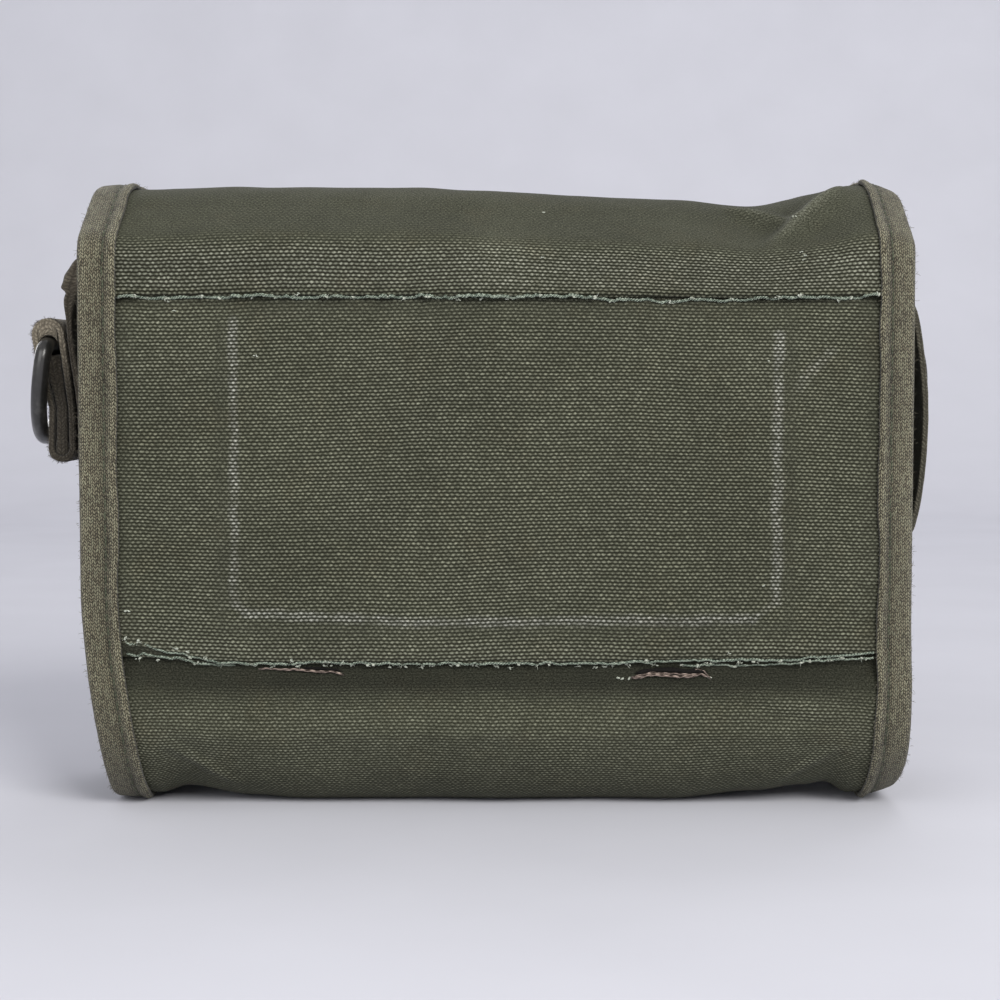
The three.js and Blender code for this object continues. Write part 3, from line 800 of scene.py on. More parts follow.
class ClothEffects:
    """Node groups that the cloth finishes share, each built once."""

    def __init__(self) -> None:
        """Builds every group."""
        self.weave, self.chevron = self.plain_weave(), self.chevron_knit()
        self.rub, self.age = self.rub_line(), self.cloth_age()

    @staticmethod
    def plain_weave() -> Tree:
        """Plain weave: straight rows of lens-shaped grains, every other row moved half a repeat.

        In row j, grains lie at whole values of b = u / Repeat + (j mod 2) / 2, and c is a raised cosine of b.
        With f the share of the way through the row and o = |2f - 1| / (0.6 + 0.4c), the row's body fades from
        o = 0.3 to 1, a grain is a fade from o = 0 to 0.9 times c, and the relief is body * (0.4 + 0.6c).

        Returns:
            The group, with outputs Grain, Body, Relief, Tone (one for each grain) and Streak (along a row).
        """
        inputs = {"Cloth": "Vector", "Repeat": "Float", "Pick": "Float"}
        n = GroupSheet("plain_weave", inputs, ("Grain", "Body", "Relief", "Tone", "Streak"))
        cloth = n.given["Cloth"]
        moved = n.swayed(cloth, (3.0, 4.5, 0.0), cloth, 0.013, 1.0)
        moved = n.swayed(moved, (0.9, 0.4, 0.0), cloth, 0.16, 3.0)
        moved = n.swayed(moved, (0.8, 0.42, 0.0), cloth, 0.9, 2.0, 0.6)
        u, v, _ = n.split(moved)
        pick, part = n.lanes(v, n.given["Pick"])
        odd = n.math("FLOORED_MODULO", pick, 2.0)
        beat = n.line(odd, 0.5, n.math("DIVIDE", u, n.given["Repeat"]))
        along = n.wave(beat)
        off = n.math("DIVIDE", n.off_middle(part), n.line(along, 0.4, 0.6))
        body = n.band(off, 0.3, 1.0, 1.0, 0.0)
        lane = n.join(n.times(u, 0.12), n.times(pick, 7.31))
        return n.give(
            Grain=n.times(along, n.band(off, 0.0, 0.9, 1.0, 0.0)), Body=body,
            Relief=n.times(body, n.line(along, 0.6, 0.4)),
            Tone=n.chance(n.join(n.math("ROUND", beat), pick, 3.0)), Streak=n.noise(lane, 1.0, 2.0),
        )

    @staticmethod
    def chevron_knit() -> Tree:
        """Ribs along the cloth with slanting threads that turn over from rib to rib, like a herringbone.

        In rib k, threads lie where v / Thread + (+-1) * f * 0.75 is whole, f being the share of the way
        across the rib. Height is the rib's rounded profile times a raised cosine of that sum.

        Returns:
            The group, with outputs Crown and Tone (one for each thread in a rib).
        """
        inputs = {"Cloth": "Vector", "Rib": "Float", "Thread": "Float"}
        n = GroupSheet("chevron_knit", inputs, ("Crown", "Tone"))
        cloth = n.given["Cloth"]
        u, v, _ = n.split(n.swayed(cloth, (0.9, 1.5, 0.0), cloth, 0.35, 3.0))
        rib, part = n.lanes(u, n.given["Rib"])
        turn = n.line(n.math("FLOORED_MODULO", rib, 2.0), 2.0, -1.0)
        beat = n.math("ADD", n.math("DIVIDE", v, n.given["Thread"]), n.times(turn, part, 0.75))
        profile = n.math("SUBTRACT", 1.0, n.math("POWER", n.off_middle(part), 2.4))
        return n.give(
            Crown=n.times(profile, n.line(n.wave(beat), 0.8, 0.2)),
            Tone=n.chance(n.join(rib, n.math("ROUND", beat), 1.0)),
        )

    @staticmethod
    def rub_line() -> Tree:
        """A patchy rubbed line between two places: distance to the segment, eased off over Width.

        Returns:
            The group, with output Mask.
        """
        inputs = {"Cloth": "Vector", "Start": "Vector", "End": "Vector", "Width": "Float"}
        n = GroupSheet("rub_line", inputs, ("Mask",))
        cloth, start = n.given["Cloth"], n.given["Start"]
        flat = n.vector("MULTIPLY", cloth, (1.0, 1.0, 0.0))
        run = n.vector("SUBTRACT", n.given["End"], start)
        reach = n.vector("SUBTRACT", n.swayed(flat, (1.8, 1.8, 0.0), cloth, 0.11, 1.0), start)
        share = n.math("DIVIDE", n.vector("DOT_PRODUCT", reach, run), n.vector("DOT_PRODUCT", run, run))
        scaled = n.add("ShaderNodeVectorMath", run, operation="SCALE")
        n.feed(scaled.inputs["Scale"], n.clipped(share))
        off = n.vector("LENGTH", n.vector("SUBTRACT", reach, scaled.outputs["Vector"]))
        patchy = n.band(n.noise(cloth, 0.16, 4.0, 0.65), 0.34, 0.6, 0.3, 1.0)
        return n.give(Mask=n.times(n.band(off, 0.0, n.given["Width"], 1.0, 0.0), patchy))

    @staticmethod
    def cloth_age() -> Tree:
        """Fading in broad patches, finer mottle and fibre fuzz.

        Returns:
            The group, with outputs Fade, Mottle and Fuzz.
        """
        n = GroupSheet("cloth_age", {"Cloth": "Vector"}, ("Fade", "Mottle", "Fuzz"))
        cloth = n.given["Cloth"]
        return n.give(
            Fade=n.band(n.noise(cloth, 0.028, 4.0, 0.6), 0.3, 0.7), Mottle=n.noise(cloth, 0.21, 3.0, 0.6),
            Fuzz=n.noise(n.vector("MULTIPLY", cloth, (2.2, 3.0, 1.0)), 1.0, 3.0, 0.85),
        )


class Dressing(NodeSheet):
    """A new material's node tree with its shader in place."""

    def __init__(self, name: str, **constants: Feed) -> None:
        """Starts the material.

        Args:
            name: the material's name.
            constants: the shader's constant sockets, by name.
        """
        self.material = bpy.data.materials.new(name)
        self.material.use_nodes = True
        super().__init__(self.material.node_tree)
        self.shader = self.tree.nodes["Principled BSDF"]
        for key, value in constants.items():
            self.shader.inputs[key.replace("_", " ")].default_value = value

    def place(self) -> Socket:
        """The piece's own place in its cloth, in millimetres."""
        return self.add("ShaderNodeUVMap", uv_map="cloth").outputs[0]

    def attribute(self, name: str) -> Socket:
        """A named value of the piece's points."""
        return self.add("ShaderNodeAttribute", attribute_name=name).outputs["Fac"]

    def object_place(self, scale: float) -> Socket:
        """Object coordinates times a scale."""
        place = self.add("ShaderNodeTexCoord").outputs["Object"]
        return self.vector("MULTIPLY", place, (scale, scale, scale))

    def set(self, socket: str, value: Feed) -> None:
        """Feeds one of the shader's sockets."""
        self.feed(self.shader.inputs[socket], value)

    def bump(self, height: Feed, depth: float) -> None:
        """Raises the surface.

        Args:
            height: from 0 to 1.
            depth: what 1 stands for, in millimetres.
        """
        node = self.add("ShaderNodeBump")
        for key, value in (("Strength", 1.0), ("Distance", depth * MM), ("Height", height)):
            self.feed(node.inputs[key], value)
        self.set("Normal", node.outputs[0])


@dataclass(frozen=True)
class RubbedLine:
    """A line where something inside has rubbed the cloth pale, in x and s."""

    start: tuple[float, float]
    end: tuple[float, float]
    width: float
    amount: float


@dataclass(frozen=True)
class CanvasFinish:
    """Worn olive plain-weave canvas."""

    name: str
    # pit and crown are the yarns' own colours, spread apart so that their contrast also paints shade in the
    # gaps between rows and highlight on the yarn tops
    pit: Colour = (0.0138, 0.0143, 0.0076)
    crown: Colour = (0.25, 0.256, 0.182)
    faded: Colour = (0.50, 0.505, 0.43)
    brown: Colour = (1.06, 0.98, 0.92)
    repeat: float = 1.325
    pick: float = 0.895
    depth: float = 0.15
    rubs: tuple[RubbedLine, ...] = ()

    def material(self, effects: ClothEffects) -> Material:
        """Dark lines between rows of paler grains, their contrast partly painted shade in the gaps and
        painted highlight on the tops; rubbed grains and painted highlights go paler still, and felt hides the
        grains.

        The share of crown colour is a little of the row's body plus grain * tone * streak * fuzz. Where the
        cloth is felted it goes over to a level share with fibre in it.

        Args:
            effects: the shared node groups.

        Returns:
            The material, which reads three values of the piece's points: paling from rubbing and painted
            highlight, felt, and a tone that also carries painted shade and highlight.
        """
        n = Dressing(
            self.name, Roughness=0.9, Sheen_Weight=0.02, Sheen_Roughness=0.5, Specular_IOR_Level=0.15,
        )
        cloth, felt, worn = n.place(), n.attribute("felt"), n.attribute("worn")
        weave = n.use(effects.weave, Cloth=cloth, Repeat=self.repeat, Pick=self.pick)
        age = n.use(effects.age, Cloth=cloth)
        own, grain, fuzz = weave["Tone"], weave["Grain"], age["Fuzz"]
        for rub in self.rubs:
            ends = {"Start": (*rub.start, 0.0), "End": (*rub.end, 0.0)}
            worn = n.line(n.use(effects.rub, Cloth=cloth, Width=rub.width, **ends)["Mask"], rub.amount, worn)
        lit = n.times(grain, n.line(own, 0.66, 0.56), n.line(weave["Streak"], 0.9, 0.55), n.times(fuzz, 2.0))
        lit = n.line(lit, 0.66, n.times(weave["Body"], n.times(fuzz, 0.3)))
        soft = n.line(fuzz, 1.5, n.line(grain, 0.06, -0.63))
        lit = n.math("ADD", lit, n.times(felt, n.math("SUBTRACT", soft, lit)))
        # Paler with the paling value: real rubbing, and painted highlight on the flap's band above the seam,
        # its fold crests and the base's bulge.
        pale = n.times(n.math("MAXIMUM", worn, 0.0), n.line(own, 0.5, 0.55))
        top = n.mix(n.math("MINIMUM", pale, 1.0), self.crown, self.faded)
        colour = n.mix(n.math("MAXIMUM", n.math("MINIMUM", lit, 1.0), 0.0), self.pit, top)
        stain = n.band(n.noise(cloth, 0.06, 4.0, 0.7), 0.5, 0.75, 0.0, 0.5)
        colour = n.mix(stain, colour, n.mix(1.0, colour, self.brown, "MULTIPLY"))
        # The tone value darkens and lightens the cloth: painted shade under covering edges, in sunk strips
        # and on facets turned away, painted highlight on fold crests, and random patches.
        shade = n.times(n.line(age["Fade"], 0.16, 0.92), n.line(age["Mottle"], 0.4, 0.8), n.attribute("tone"))
        n.set("Base Color", n.shaded(colour, shade))
        n.bump(n.line(fuzz, 0.5, n.times(weave["Relief"], n.line(felt, -0.6, 1.0))), self.depth)
        return n.material


@dataclass(frozen=True)
class KnitFinish:
    """Fuzzy cotton tape or webbing in a herringbone of ribs."""

    name: str
    gap: Colour
    warm: Colour
    cool: Colour
    tip: Colour
    rib: float = 0.56
    thread_pitch: float = 0.9
    contrast: float = 1.0
    depth: float = 0.2

    def material(self, effects: ClothEffects) -> Material:
        """Dark gaps between fuzzy threads, each with its own tint, paler where a point's value of rubbing and
        painted highlight is high.

        Args:
            effects: the shared node groups.

        Returns:
            The material, which reads two values of the piece's points: paling from rubbing and painted
            highlight, and darkening that is partly painted shade.
        """
        n = Dressing(
            self.name, Roughness=0.95, Sheen_Weight=0.12, Sheen_Roughness=0.6, Specular_IOR_Level=0.15,
        )
        cloth = n.place()
        knit = n.use(effects.chevron, Cloth=cloth, Rib=self.rib, Thread=self.thread_pitch)
        age = n.use(effects.age, Cloth=cloth)
        fuzz, own = age["Fuzz"], knit["Tone"]
        share = n.math("ADD", n.times(knit["Crown"], n.line(own, 0.9, 0.45)), n.line(fuzz, 1.5, -0.72))
        share = n.line(share, self.contrast, 0.42 * (1.0 - self.contrast))
        thread = n.mix(own, self.warm, self.cool)
        bright = n.mix(n.band(n.math("ADD", fuzz, n.attribute("worn")), 0.5, 0.85), thread, self.tip)
        colour = n.mix(n.clipped(share), self.gap, bright)
        # Darker with the darkening value: painted shade in the tape's stitch groove and under its lower leg,
        # and darkening along the ring's strip and loop.
        grime_and_shade_factor = n.line(n.attribute("grime_and_shade"), -0.75, 1.0)
        shade = n.times(n.line(age["Fade"], 0.2, 0.88), n.line(age["Mottle"], 0.6, 0.7), grime_and_shade_factor)
        n.set("Base Color", n.shaded(colour, shade))
        n.bump(n.line(fuzz, 0.9, knit["Crown"]), self.depth)
        return n.material


@dataclass(frozen=True)
class ThreadFinish:
    """Two-ply sewing thread."""

    name: str
    dark: Colour
    light: Colour
    ply: float = 0.9
    patch: float = 1000.0
    contrast: float = 1.0
    sheen: float = 0.1

    def material(self, effects: ClothEffects) -> Material:
        """Slanting plies round the strand, each strand with its own tone.

        Args:
            effects: the shared node groups.

        Returns:
            The material.
        """
        n = Dressing(self.name, Roughness=0.85, Sheen_Weight=self.sheen, Specular_IOR_Level=0.15)
        along, turn, _ = n.split(n.place())
        ply = n.wave(n.math("ADD", n.math("DIVIDE", along, self.ply), turn))
        mottle = n.use(effects.age, Cloth=n.object_place(self.patch))["Mottle"]
        share = n.line(mottle, 0.9, n.line(ply, 0.5, -0.35))
        share = n.clipped(n.line(share, self.contrast, 0.35 * (1.0 - self.contrast)))
        n.set("Base Color", n.mix(share, self.dark, self.light))
        n.bump(ply, 0.08)
        return n.material


@dataclass(frozen=True)
class MetalFinish:
    """Blackened steel, rubbed to a soft sheen."""

    name: str = "blackened_steel"
    dark: Colour = (0.034, 0.033, 0.031)
    rubbed: Colour = (0.11, 0.105, 0.098)

    def material(self, effects: ClothEffects) -> Material:
        """Fine mottle in colour and gloss, with rubbed patches.

        Args:
            effects: the shared node groups.

        Returns:
            The material.
        """
        n = Dressing(self.name, Metallic=0.6, Roughness=0.42, Coat_Weight=0.5, Coat_Roughness=0.24)
        mottle = n.use(effects.age, Cloth=n.object_place(2200.0))["Mottle"]
        patch = n.noise(n.object_place(160.0), 1.0, 4.0, 0.6)
        n.set("Base Color", n.mix(n.band(patch, 0.42, 0.75), self.dark, self.rubbed))
        n.set("Roughness", n.line(mottle, 0.25, 0.22))
        n.bump(mottle, 0.04)
        return n.material


@dataclass(frozen=True)
class PaperFinish:
    """Pale sweep behind the pouch."""

    name: str = "pale_sweep"
    pale: Colour = (0.66, 0.66, 0.71)
    deep: Colour = (0.60, 0.60, 0.645)

    def material(self) -> Material:
        """Slightly mottled pale paper.

        Returns:
            The material.
        """
        n = Dressing(self.name, Roughness=0.95, Specular_IOR_Level=0.1)
        n.set("Base Color", n.mix(n.noise(n.object_place(14.0), 1.0, 4.0), self.pale, self.deep))
        return n.material


def dress(
    piece: Piece, material: Material, nodes: Sequence[str] = (), body: Body = Body.POUCH
) -> Piece:
    """Gives a piece its material and its body, and hides the solids that it stands for.

    Args:
        piece: the new piece.
        material: its finish.
        nodes: the solids that it replaces.
        body: what it moves with.

    Returns:
        The piece.
    """
    piece.data.materials.append(material)
    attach(piece, body.value)
    if nodes:
        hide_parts(*nodes)
    LOG.info("%s: %d faces, rides on %s", piece.name, len(piece.data.polygons), body.value)
    return piece


@dataclass
class SeamLines:
    """Where the threads of the back's two seams run, and where the back panel's lower edge lies."""

    # x, z
    lower: Array = table(
        (-94.2, 44.6), (-93.4, 43.9), (-90.7, 43.9), (-87.2, 43.1), (-83.4, 42.2), (-79.7, 42.0),
        (-78.5, 41.4), (-74.7, 40.4), (-73.1, 40.1), (-70.6, 39.4), (-65.6, 39.2), (-62.4, 38.7),
        (-60.2, 39.2), (-51.1, 39.2), (-43.2, 39.5), (-39.1, 39.2), (-20.0, 39.1), (0.0, 39.2),
        (20.0, 39.1), (29.4, 39.3), (34.3, 39.8), (41.0, 39.5), (47.6, 39.7), (54.4, 39.7), (60.4, 40.0),
        (75.0, 40.3), (85.0, 41.0), (94.4, 41.8),
    )
    lower_left: Array = table(
        (-94.2, 41.4), (-91.7, 41.0), (-89.7, 41.6), (-87.2, 41.0), (-83.0, 40.7), (-79.7, 40.3),
        (-76.0, 39.4), (-69.8, 38.8), (-66.4, 38.7),
    )
    lower_right: Array = table(
        (46.5, 39.0), (50.6, 38.7), (53.5, 38.8), (56.6, 38.6), (60.4, 38.3), (70.0, 38.9), (80.0, 39.8),
        (94.4, 40.6),
    )
    upper: Array = table(
        (-94.5, 130.9), (-80.0, 130.6), (-60.0, 131.0), (-40.0, 130.7), (-20.0, 131.0), (0.0, 130.9),
        (15.4, 131.3), (18.9, 131.2), (24.4, 130.8), (28.4, 130.1), (34.4, 130.4), (43.0, 129.8),
        (47.9, 130.5), (53.3, 130.2), (56.6, 129.8), (57.6, 130.5), (61.4, 130.5), (65.8, 131.2),
        (69.6, 130.9), (74.8, 131.1), (79.4, 130.8), (84.3, 130.6), (88.0, 130.8), (94.3, 131.3),
    )
    # x, lift
    edge: Array = table((-95.0, 2.0), (-70.0, 0.0), (25.0, 0.0), (50.0, 0.7), (75.0, 1.2), (95.0, 2.7))

    def edge_lift(self, x: Array) -> Array:
        """How far the back panel's lower edge lies above the level seam."""
        return follow(self.edge, x)

    def between_threads(self, x: Array, z: Array) -> Array:
        """Where the cloth lies between the two threads at the left end of the lower seam.

        Args:
            x: places across.
            z: places in height.

        Returns:
            1 between them and 0 elsewhere, eased.
        """
        high, low = follow(self.lower, x), follow(self.lower_left, x)
        inside = smoothstep(z, low - 0.1, low + 0.4) * (1.0 - smoothstep(z, high - 0.5, high))
        return inside * (1.0 - smoothstep(x, -74.0, -70.0))


@dataclass
class ClothFields:
    """A panel's surface over its grid: relief in millimetres, shares of paling (rubbing with painted
    highlight) and of felt, and a tone that also carries painted shade and highlight.
    """

    relief: Array
    worn: Array
    felt: Array
    tone: Array


@dataclass
class CanvasWrap:
    """The three canvas panels round the pouch: front and base, back, and flap."""

    form: PouchForm
    seams: SeamLines
    column: float = 1.0
    insert: tuple[float, float, float, float] = (-66.1, 69.7, 51.0, 124.0)
    insert_rise: float = 0.3
    crest_rise: float = 1.5
    inner_skin: float = 0.8
    edge_fade: float = 14.0
    hem_rows: float = 14.0
    back_noise: tuple[float, float] = (0.35, 0.12)
    flap_noise: tuple[float, float] = (0.7, 0.22)
    front_noise: tuple[float, float] = (0.45, 0.16)

    def columns(self) -> Array:
        """Places across the cloth, a column apart."""
        edge = self.form.body_half + self.form.flange
        return np.linspace(-edge, edge, int(round(2 * edge / self.column)) + 1)

    @staticmethod
    def rows(*runs: tuple[float, float, float]) -> Array:
        """Places along the wrap: runs of start, end and step, joined."""
        parts = [np.linspace(a, b, max(2, int(math.ceil((b - a) / step)) + 1)) for a, b, step in runs]
        return np.unique(np.concatenate(parts).round(4))

    def away_from_tape(self, x: Array) -> Array:
        """1 over the open cloth and 0 under the edge tapes."""
        return 1.0 - smoothstep(np.abs(x), self.form.body_half - 3.0, self.form.body_half)

    def puckers(self, x: Array, s: Array) -> Array:
        """Small gathers beside the tapes: noise along the edge times a hump 5 mm from it."""
        edge = self.form.body_half - 4.5
        return 0.3 * noise(11, 5.5, s + 40.0 * np.sign(x)) * hump(np.abs(x) - edge, 6.0)

    def back_fields(self, x: Array, s: Array) -> ClothFields:
        """The back panel: a flat insert's plateau with a rubbed ridge along its edges, over slow waves.

        Args:
            x: places across.
            s: places along the wrap.

        Returns:
            The panel's fields.
        """
        line = self.form.line
        z = s - self.form.back_s(0.0)
        left, right, low, high = self.insert
        inset = np.minimum(np.minimum(x - left, right - x), np.minimum(z - low, high - z))
        ridge = np.exp(-((inset / 1.1) ** 2))
        plateau = smoothstep(inset, -2.0, 2.0)
        broad, fine = self.back_noise
        waves = broad * noise(3, 30.0, x, s) + fine * noise(4, 11.0, x, s)
        seam = s - line.lower_seam - self.seams.edge_lift(x)
        roll = 0.35 * hump(seam - 2.2, 2.4) - 0.7 * np.maximum(0.0, 1.0 - seam / 1.3) ** 2
        dips = 0.12 * np.cos(TURN * x / 3.1) * hump(seam - 1.0, 2.5)
        sunk = self.seams.between_threads(x, z)
        relief = self.insert_rise * (0.5 * ridge + 0.6 * plateau) + waves + roll + dips - 0.45 * sunk
        relief = (relief + self.puckers(x, s)) * self.away_from_tape(x)
        near_top = smoothstep(s, line.upper_seam - 4.0, line.upper_seam - 0.5)
        dull = hump(inset + 3.2, 2.6)
        worn = 0.05 * noise(5, 17.0, x, s) + 0.1 * hump(seam - 2.5, 4.0) + 0.02
        felt = 0.12 + 0.25 * smoothstep(np.abs(x), 88.0, 95.0) + 0.4 * near_top + 0.6 * sunk + 0.25 * dull
        # Painted shade: darker just under the flap's edge and in the sunk strip between the threads. Also
        # darker in the last 5 mm beside the tapes and in a band just outside the insert.
        tone = 1.0 - 0.3 * near_top - 0.5 * sunk - 0.12 * smoothstep(np.abs(x), 90.0, 95.0) - 0.1 * dull
        return ClothFields(relief, worn, felt, tone)

    def crests(self) -> tuple[Crease, Crease]:
        """Sharp lines along the tops of the flap's two folds.

        Returns:
            The long one and the short one.
        """
        seam = self.form.line.upper_seam
        long_crest = Crease(67.0, seam + 17.0, 92.0, seam + 46.0, 1.0, 3.0)
        return long_crest, Crease(56.0, seam + 41.0, 77.0, seam + 27.0, 0.7, 2.6)

    def flap_fields(self, x: Array, s: Array) -> ClothFields:
        """The flap: a rolled lower edge, a crisp band above it made paler as painted highlight, dents over
        the felted slope, and a hem.

        Args:
            x: places across.
            s: places along the wrap.

        Returns:
            The panel's fields.
        """
        line = self.form.line
        past = s - line.upper_seam
        roll = 0.3 * hump(past - 2.4, 2.6) - 0.75 * np.maximum(0.0, 1.0 - past / 1.2) ** 2
        dips = 0.12 * np.cos(TURN * x / 3.3) * hump(past - 1.0, 2.5)
        on_slope = smoothstep(past, 8.0, 22.0)
        broad, fine = self.flap_noise
        dents = on_slope * (broad * noise(7, 26.0, x, s) + fine * noise(8, 10.0, x, s))
        to_end = line.length - s
        hem = 0.5 * smoothstep(-to_end, -12.0, -11.0) - 0.25 * hump(to_end - 10.0, 1.0)
        crest = sum(crease.height(x, s) for crease in self.crests())
        relief = roll + dips + dents + hem + self.puckers(x, s) + self.crest_rise * crest
        relief = relief * self.away_from_tape(x)
        folds = sum(crease.shape(x, s) for crease in self.form.folds())
        patches = noise(9, 15.0, x, s)
        # Painted highlight: the band just above the upper seam is made paler where it faces the lamps.
        bright = smoothstep(past, 1.0, 3.0) * (1.0 - smoothstep(past, 9.0, 15.0))
        worn = 0.27 * bright + 0.1 * folds + 0.3 * crest + 0.04 * patches
        felt = 0.9 * smoothstep(past, 11.0, 17.0) + 0.1 * patches * on_slope
        # Painted highlight along the fold crests, on top of some real rubbing there, and painted shade on the
        # facet above the long fold.
        shaded = Crease(63.0, line.upper_seam + 20.5, 88.0, line.upper_seam + 49.5, 1.0, 4.5).shape(x, s)
        tone = 1.0 + 0.1 * patches + 0.5 * crest - 0.22 * shaded
        return ClothFields(relief, worn, np.clip(felt, 0.05, 0.95), tone)

    def front_fields(self, x: Array, s: Array) -> ClothFields:
        """The front and base: slow waves, corner creases, and felted cloth under the lower seam, darkened
        there as painted shade.

        Args:
            x: places across.
            s: places along the wrap.

        Returns:
            The panel's fields.
        """
        ends, below = self.form.line.ends, self.form.line.lower_seam - s
        creases = (
            Crease(-90.0, 212.0, -66.0, 192.0, 0.9, 3.2), Crease(90.0, 210.0, 70.0, 192.0, 0.7, 3.0),
            Crease(62.0, 222.0, 88.0, 216.0, 0.6, 3.0),
        )
        ridge = sum(crease.shape(x, s) for crease in creases)
        lift = sum(crease.height(x, s) for crease in creases)
        broad, fine = self.front_noise
        waves = broad * noise(13, 24.0, x, s) + fine * noise(14, 9.0, x, s)
        on_base = smoothstep(s, ends["front_corner"] - 6.0, ends["front_corner"] + 4.0)
        off_base = 1.0 - on_base * (1.0 - smoothstep(s, ends["base"] - 2.0, ends["base"] + 12.0))
        relief = (lift + waves * off_base + self.puckers(x, s) * off_base) * self.away_from_tape(x)
        under = smoothstep(-below, -13.0, -2.0)
        patches = noise(15, 16.0, x, s)
        # The base's bulge about 22 mm below the seam is made a little paler as painted highlight.
        worn = 0.1 * ridge + 0.05 * hump(below - 22.0, 14.0) + 0.05 * patches
        felt = 0.36 + 0.78 * under + 0.12 * patches - 0.2 * ridge
        # Painted shade: dark under the back panel's overlapping edge, and darker where the base curves under.
        tone = 1.1 - 0.66 * under - 0.06 * smoothstep(below, 26.0, 40.0)
        return ClothFields(relief, worn, np.clip(felt, 0.1, 0.95), tone)

    def panel(self, node: str, x: Array, s: Array, dip: Array, fields: ClothFields, finish: Material) -> None:
        """One canvas panel: the wrap over a grid of x and s, with a second skin a cloth's thickness in.

        Args:
            node: the solid that it stands for.
            x: places across, over the grid.
            s: places along the wrap, over the grid.
            dip: how far each row dips under the panel that covers it.
            fields: what the surface does over the grid.
            finish: its material.
        """
        level = -dip[:, None]
        out = fields.relief + level
        outer = self.form.point(x, s, out)
        inner = self.form.point(x, s, np.minimum(out, level) - self.form.canvas * self.inner_skin)
        values = {"worn": fields.worn, "felt": fields.felt, "tone": fields.tone}
        cloth = np.stack([x, s], axis=-1)
        piece = cloth_wall(f"{node}_cloth", outer, inner, grid_faces(*x.shape), cloth, values)
        dress(piece, finish, [node])

    def build(self, plain: Material, back: Material) -> None:
        """Builds and dresses the three panels.

        Args:
            plain: finish of the front and the flap.
            back: finish of the back panel, with the insert's rubbed lines.
        """
        form, line, ends = self.form, self.form.line, self.form.line.ends
        low, high, hem = line.lower_seam, line.upper_seam, line.length - self.hem_rows
        front, base, roof, overlap = ends["front"], ends["base"], ends["roof"], form.overlap
        front_rows = self.rows(
            (0.0, front, 3.0), (front, base, 1.8), (base, low, 0.8), (low, low + overlap, 1.5),
        )
        back_rows = self.rows((low, low + 4.0, 0.35), (low + 4.0, high, 0.9), (high, high + overlap, 1.5))
        flap_rows = self.rows(
            (high, high + 4.0, 0.35), (high + 4.0, roof, 1.0), (roof, hem, 1.9), (hem, line.length, 0.7)
        )
        for node, rows, cover, fields, finish in (
            ("front_panel", front_rows, low, self.front_fields, plain),
            ("back_panel", back_rows, high, self.back_fields, back),
            ("flap", flap_rows, math.inf, self.flap_fields, plain),
        ):
            x, s = np.meshgrid(self.columns(), rows)
            if node == "back_panel":
                s = s + self.seams.edge_lift(x) * (1.0 - smoothstep(s - low, 0.0, self.edge_fade))
            covered = math.isfinite(cover)
            dip = form.layer * smoothstep(rows, cover - form.ramp, cover) if covered else np.zeros(len(rows))
            self.panel(node, x, s, dip, fields(x, s), finish)


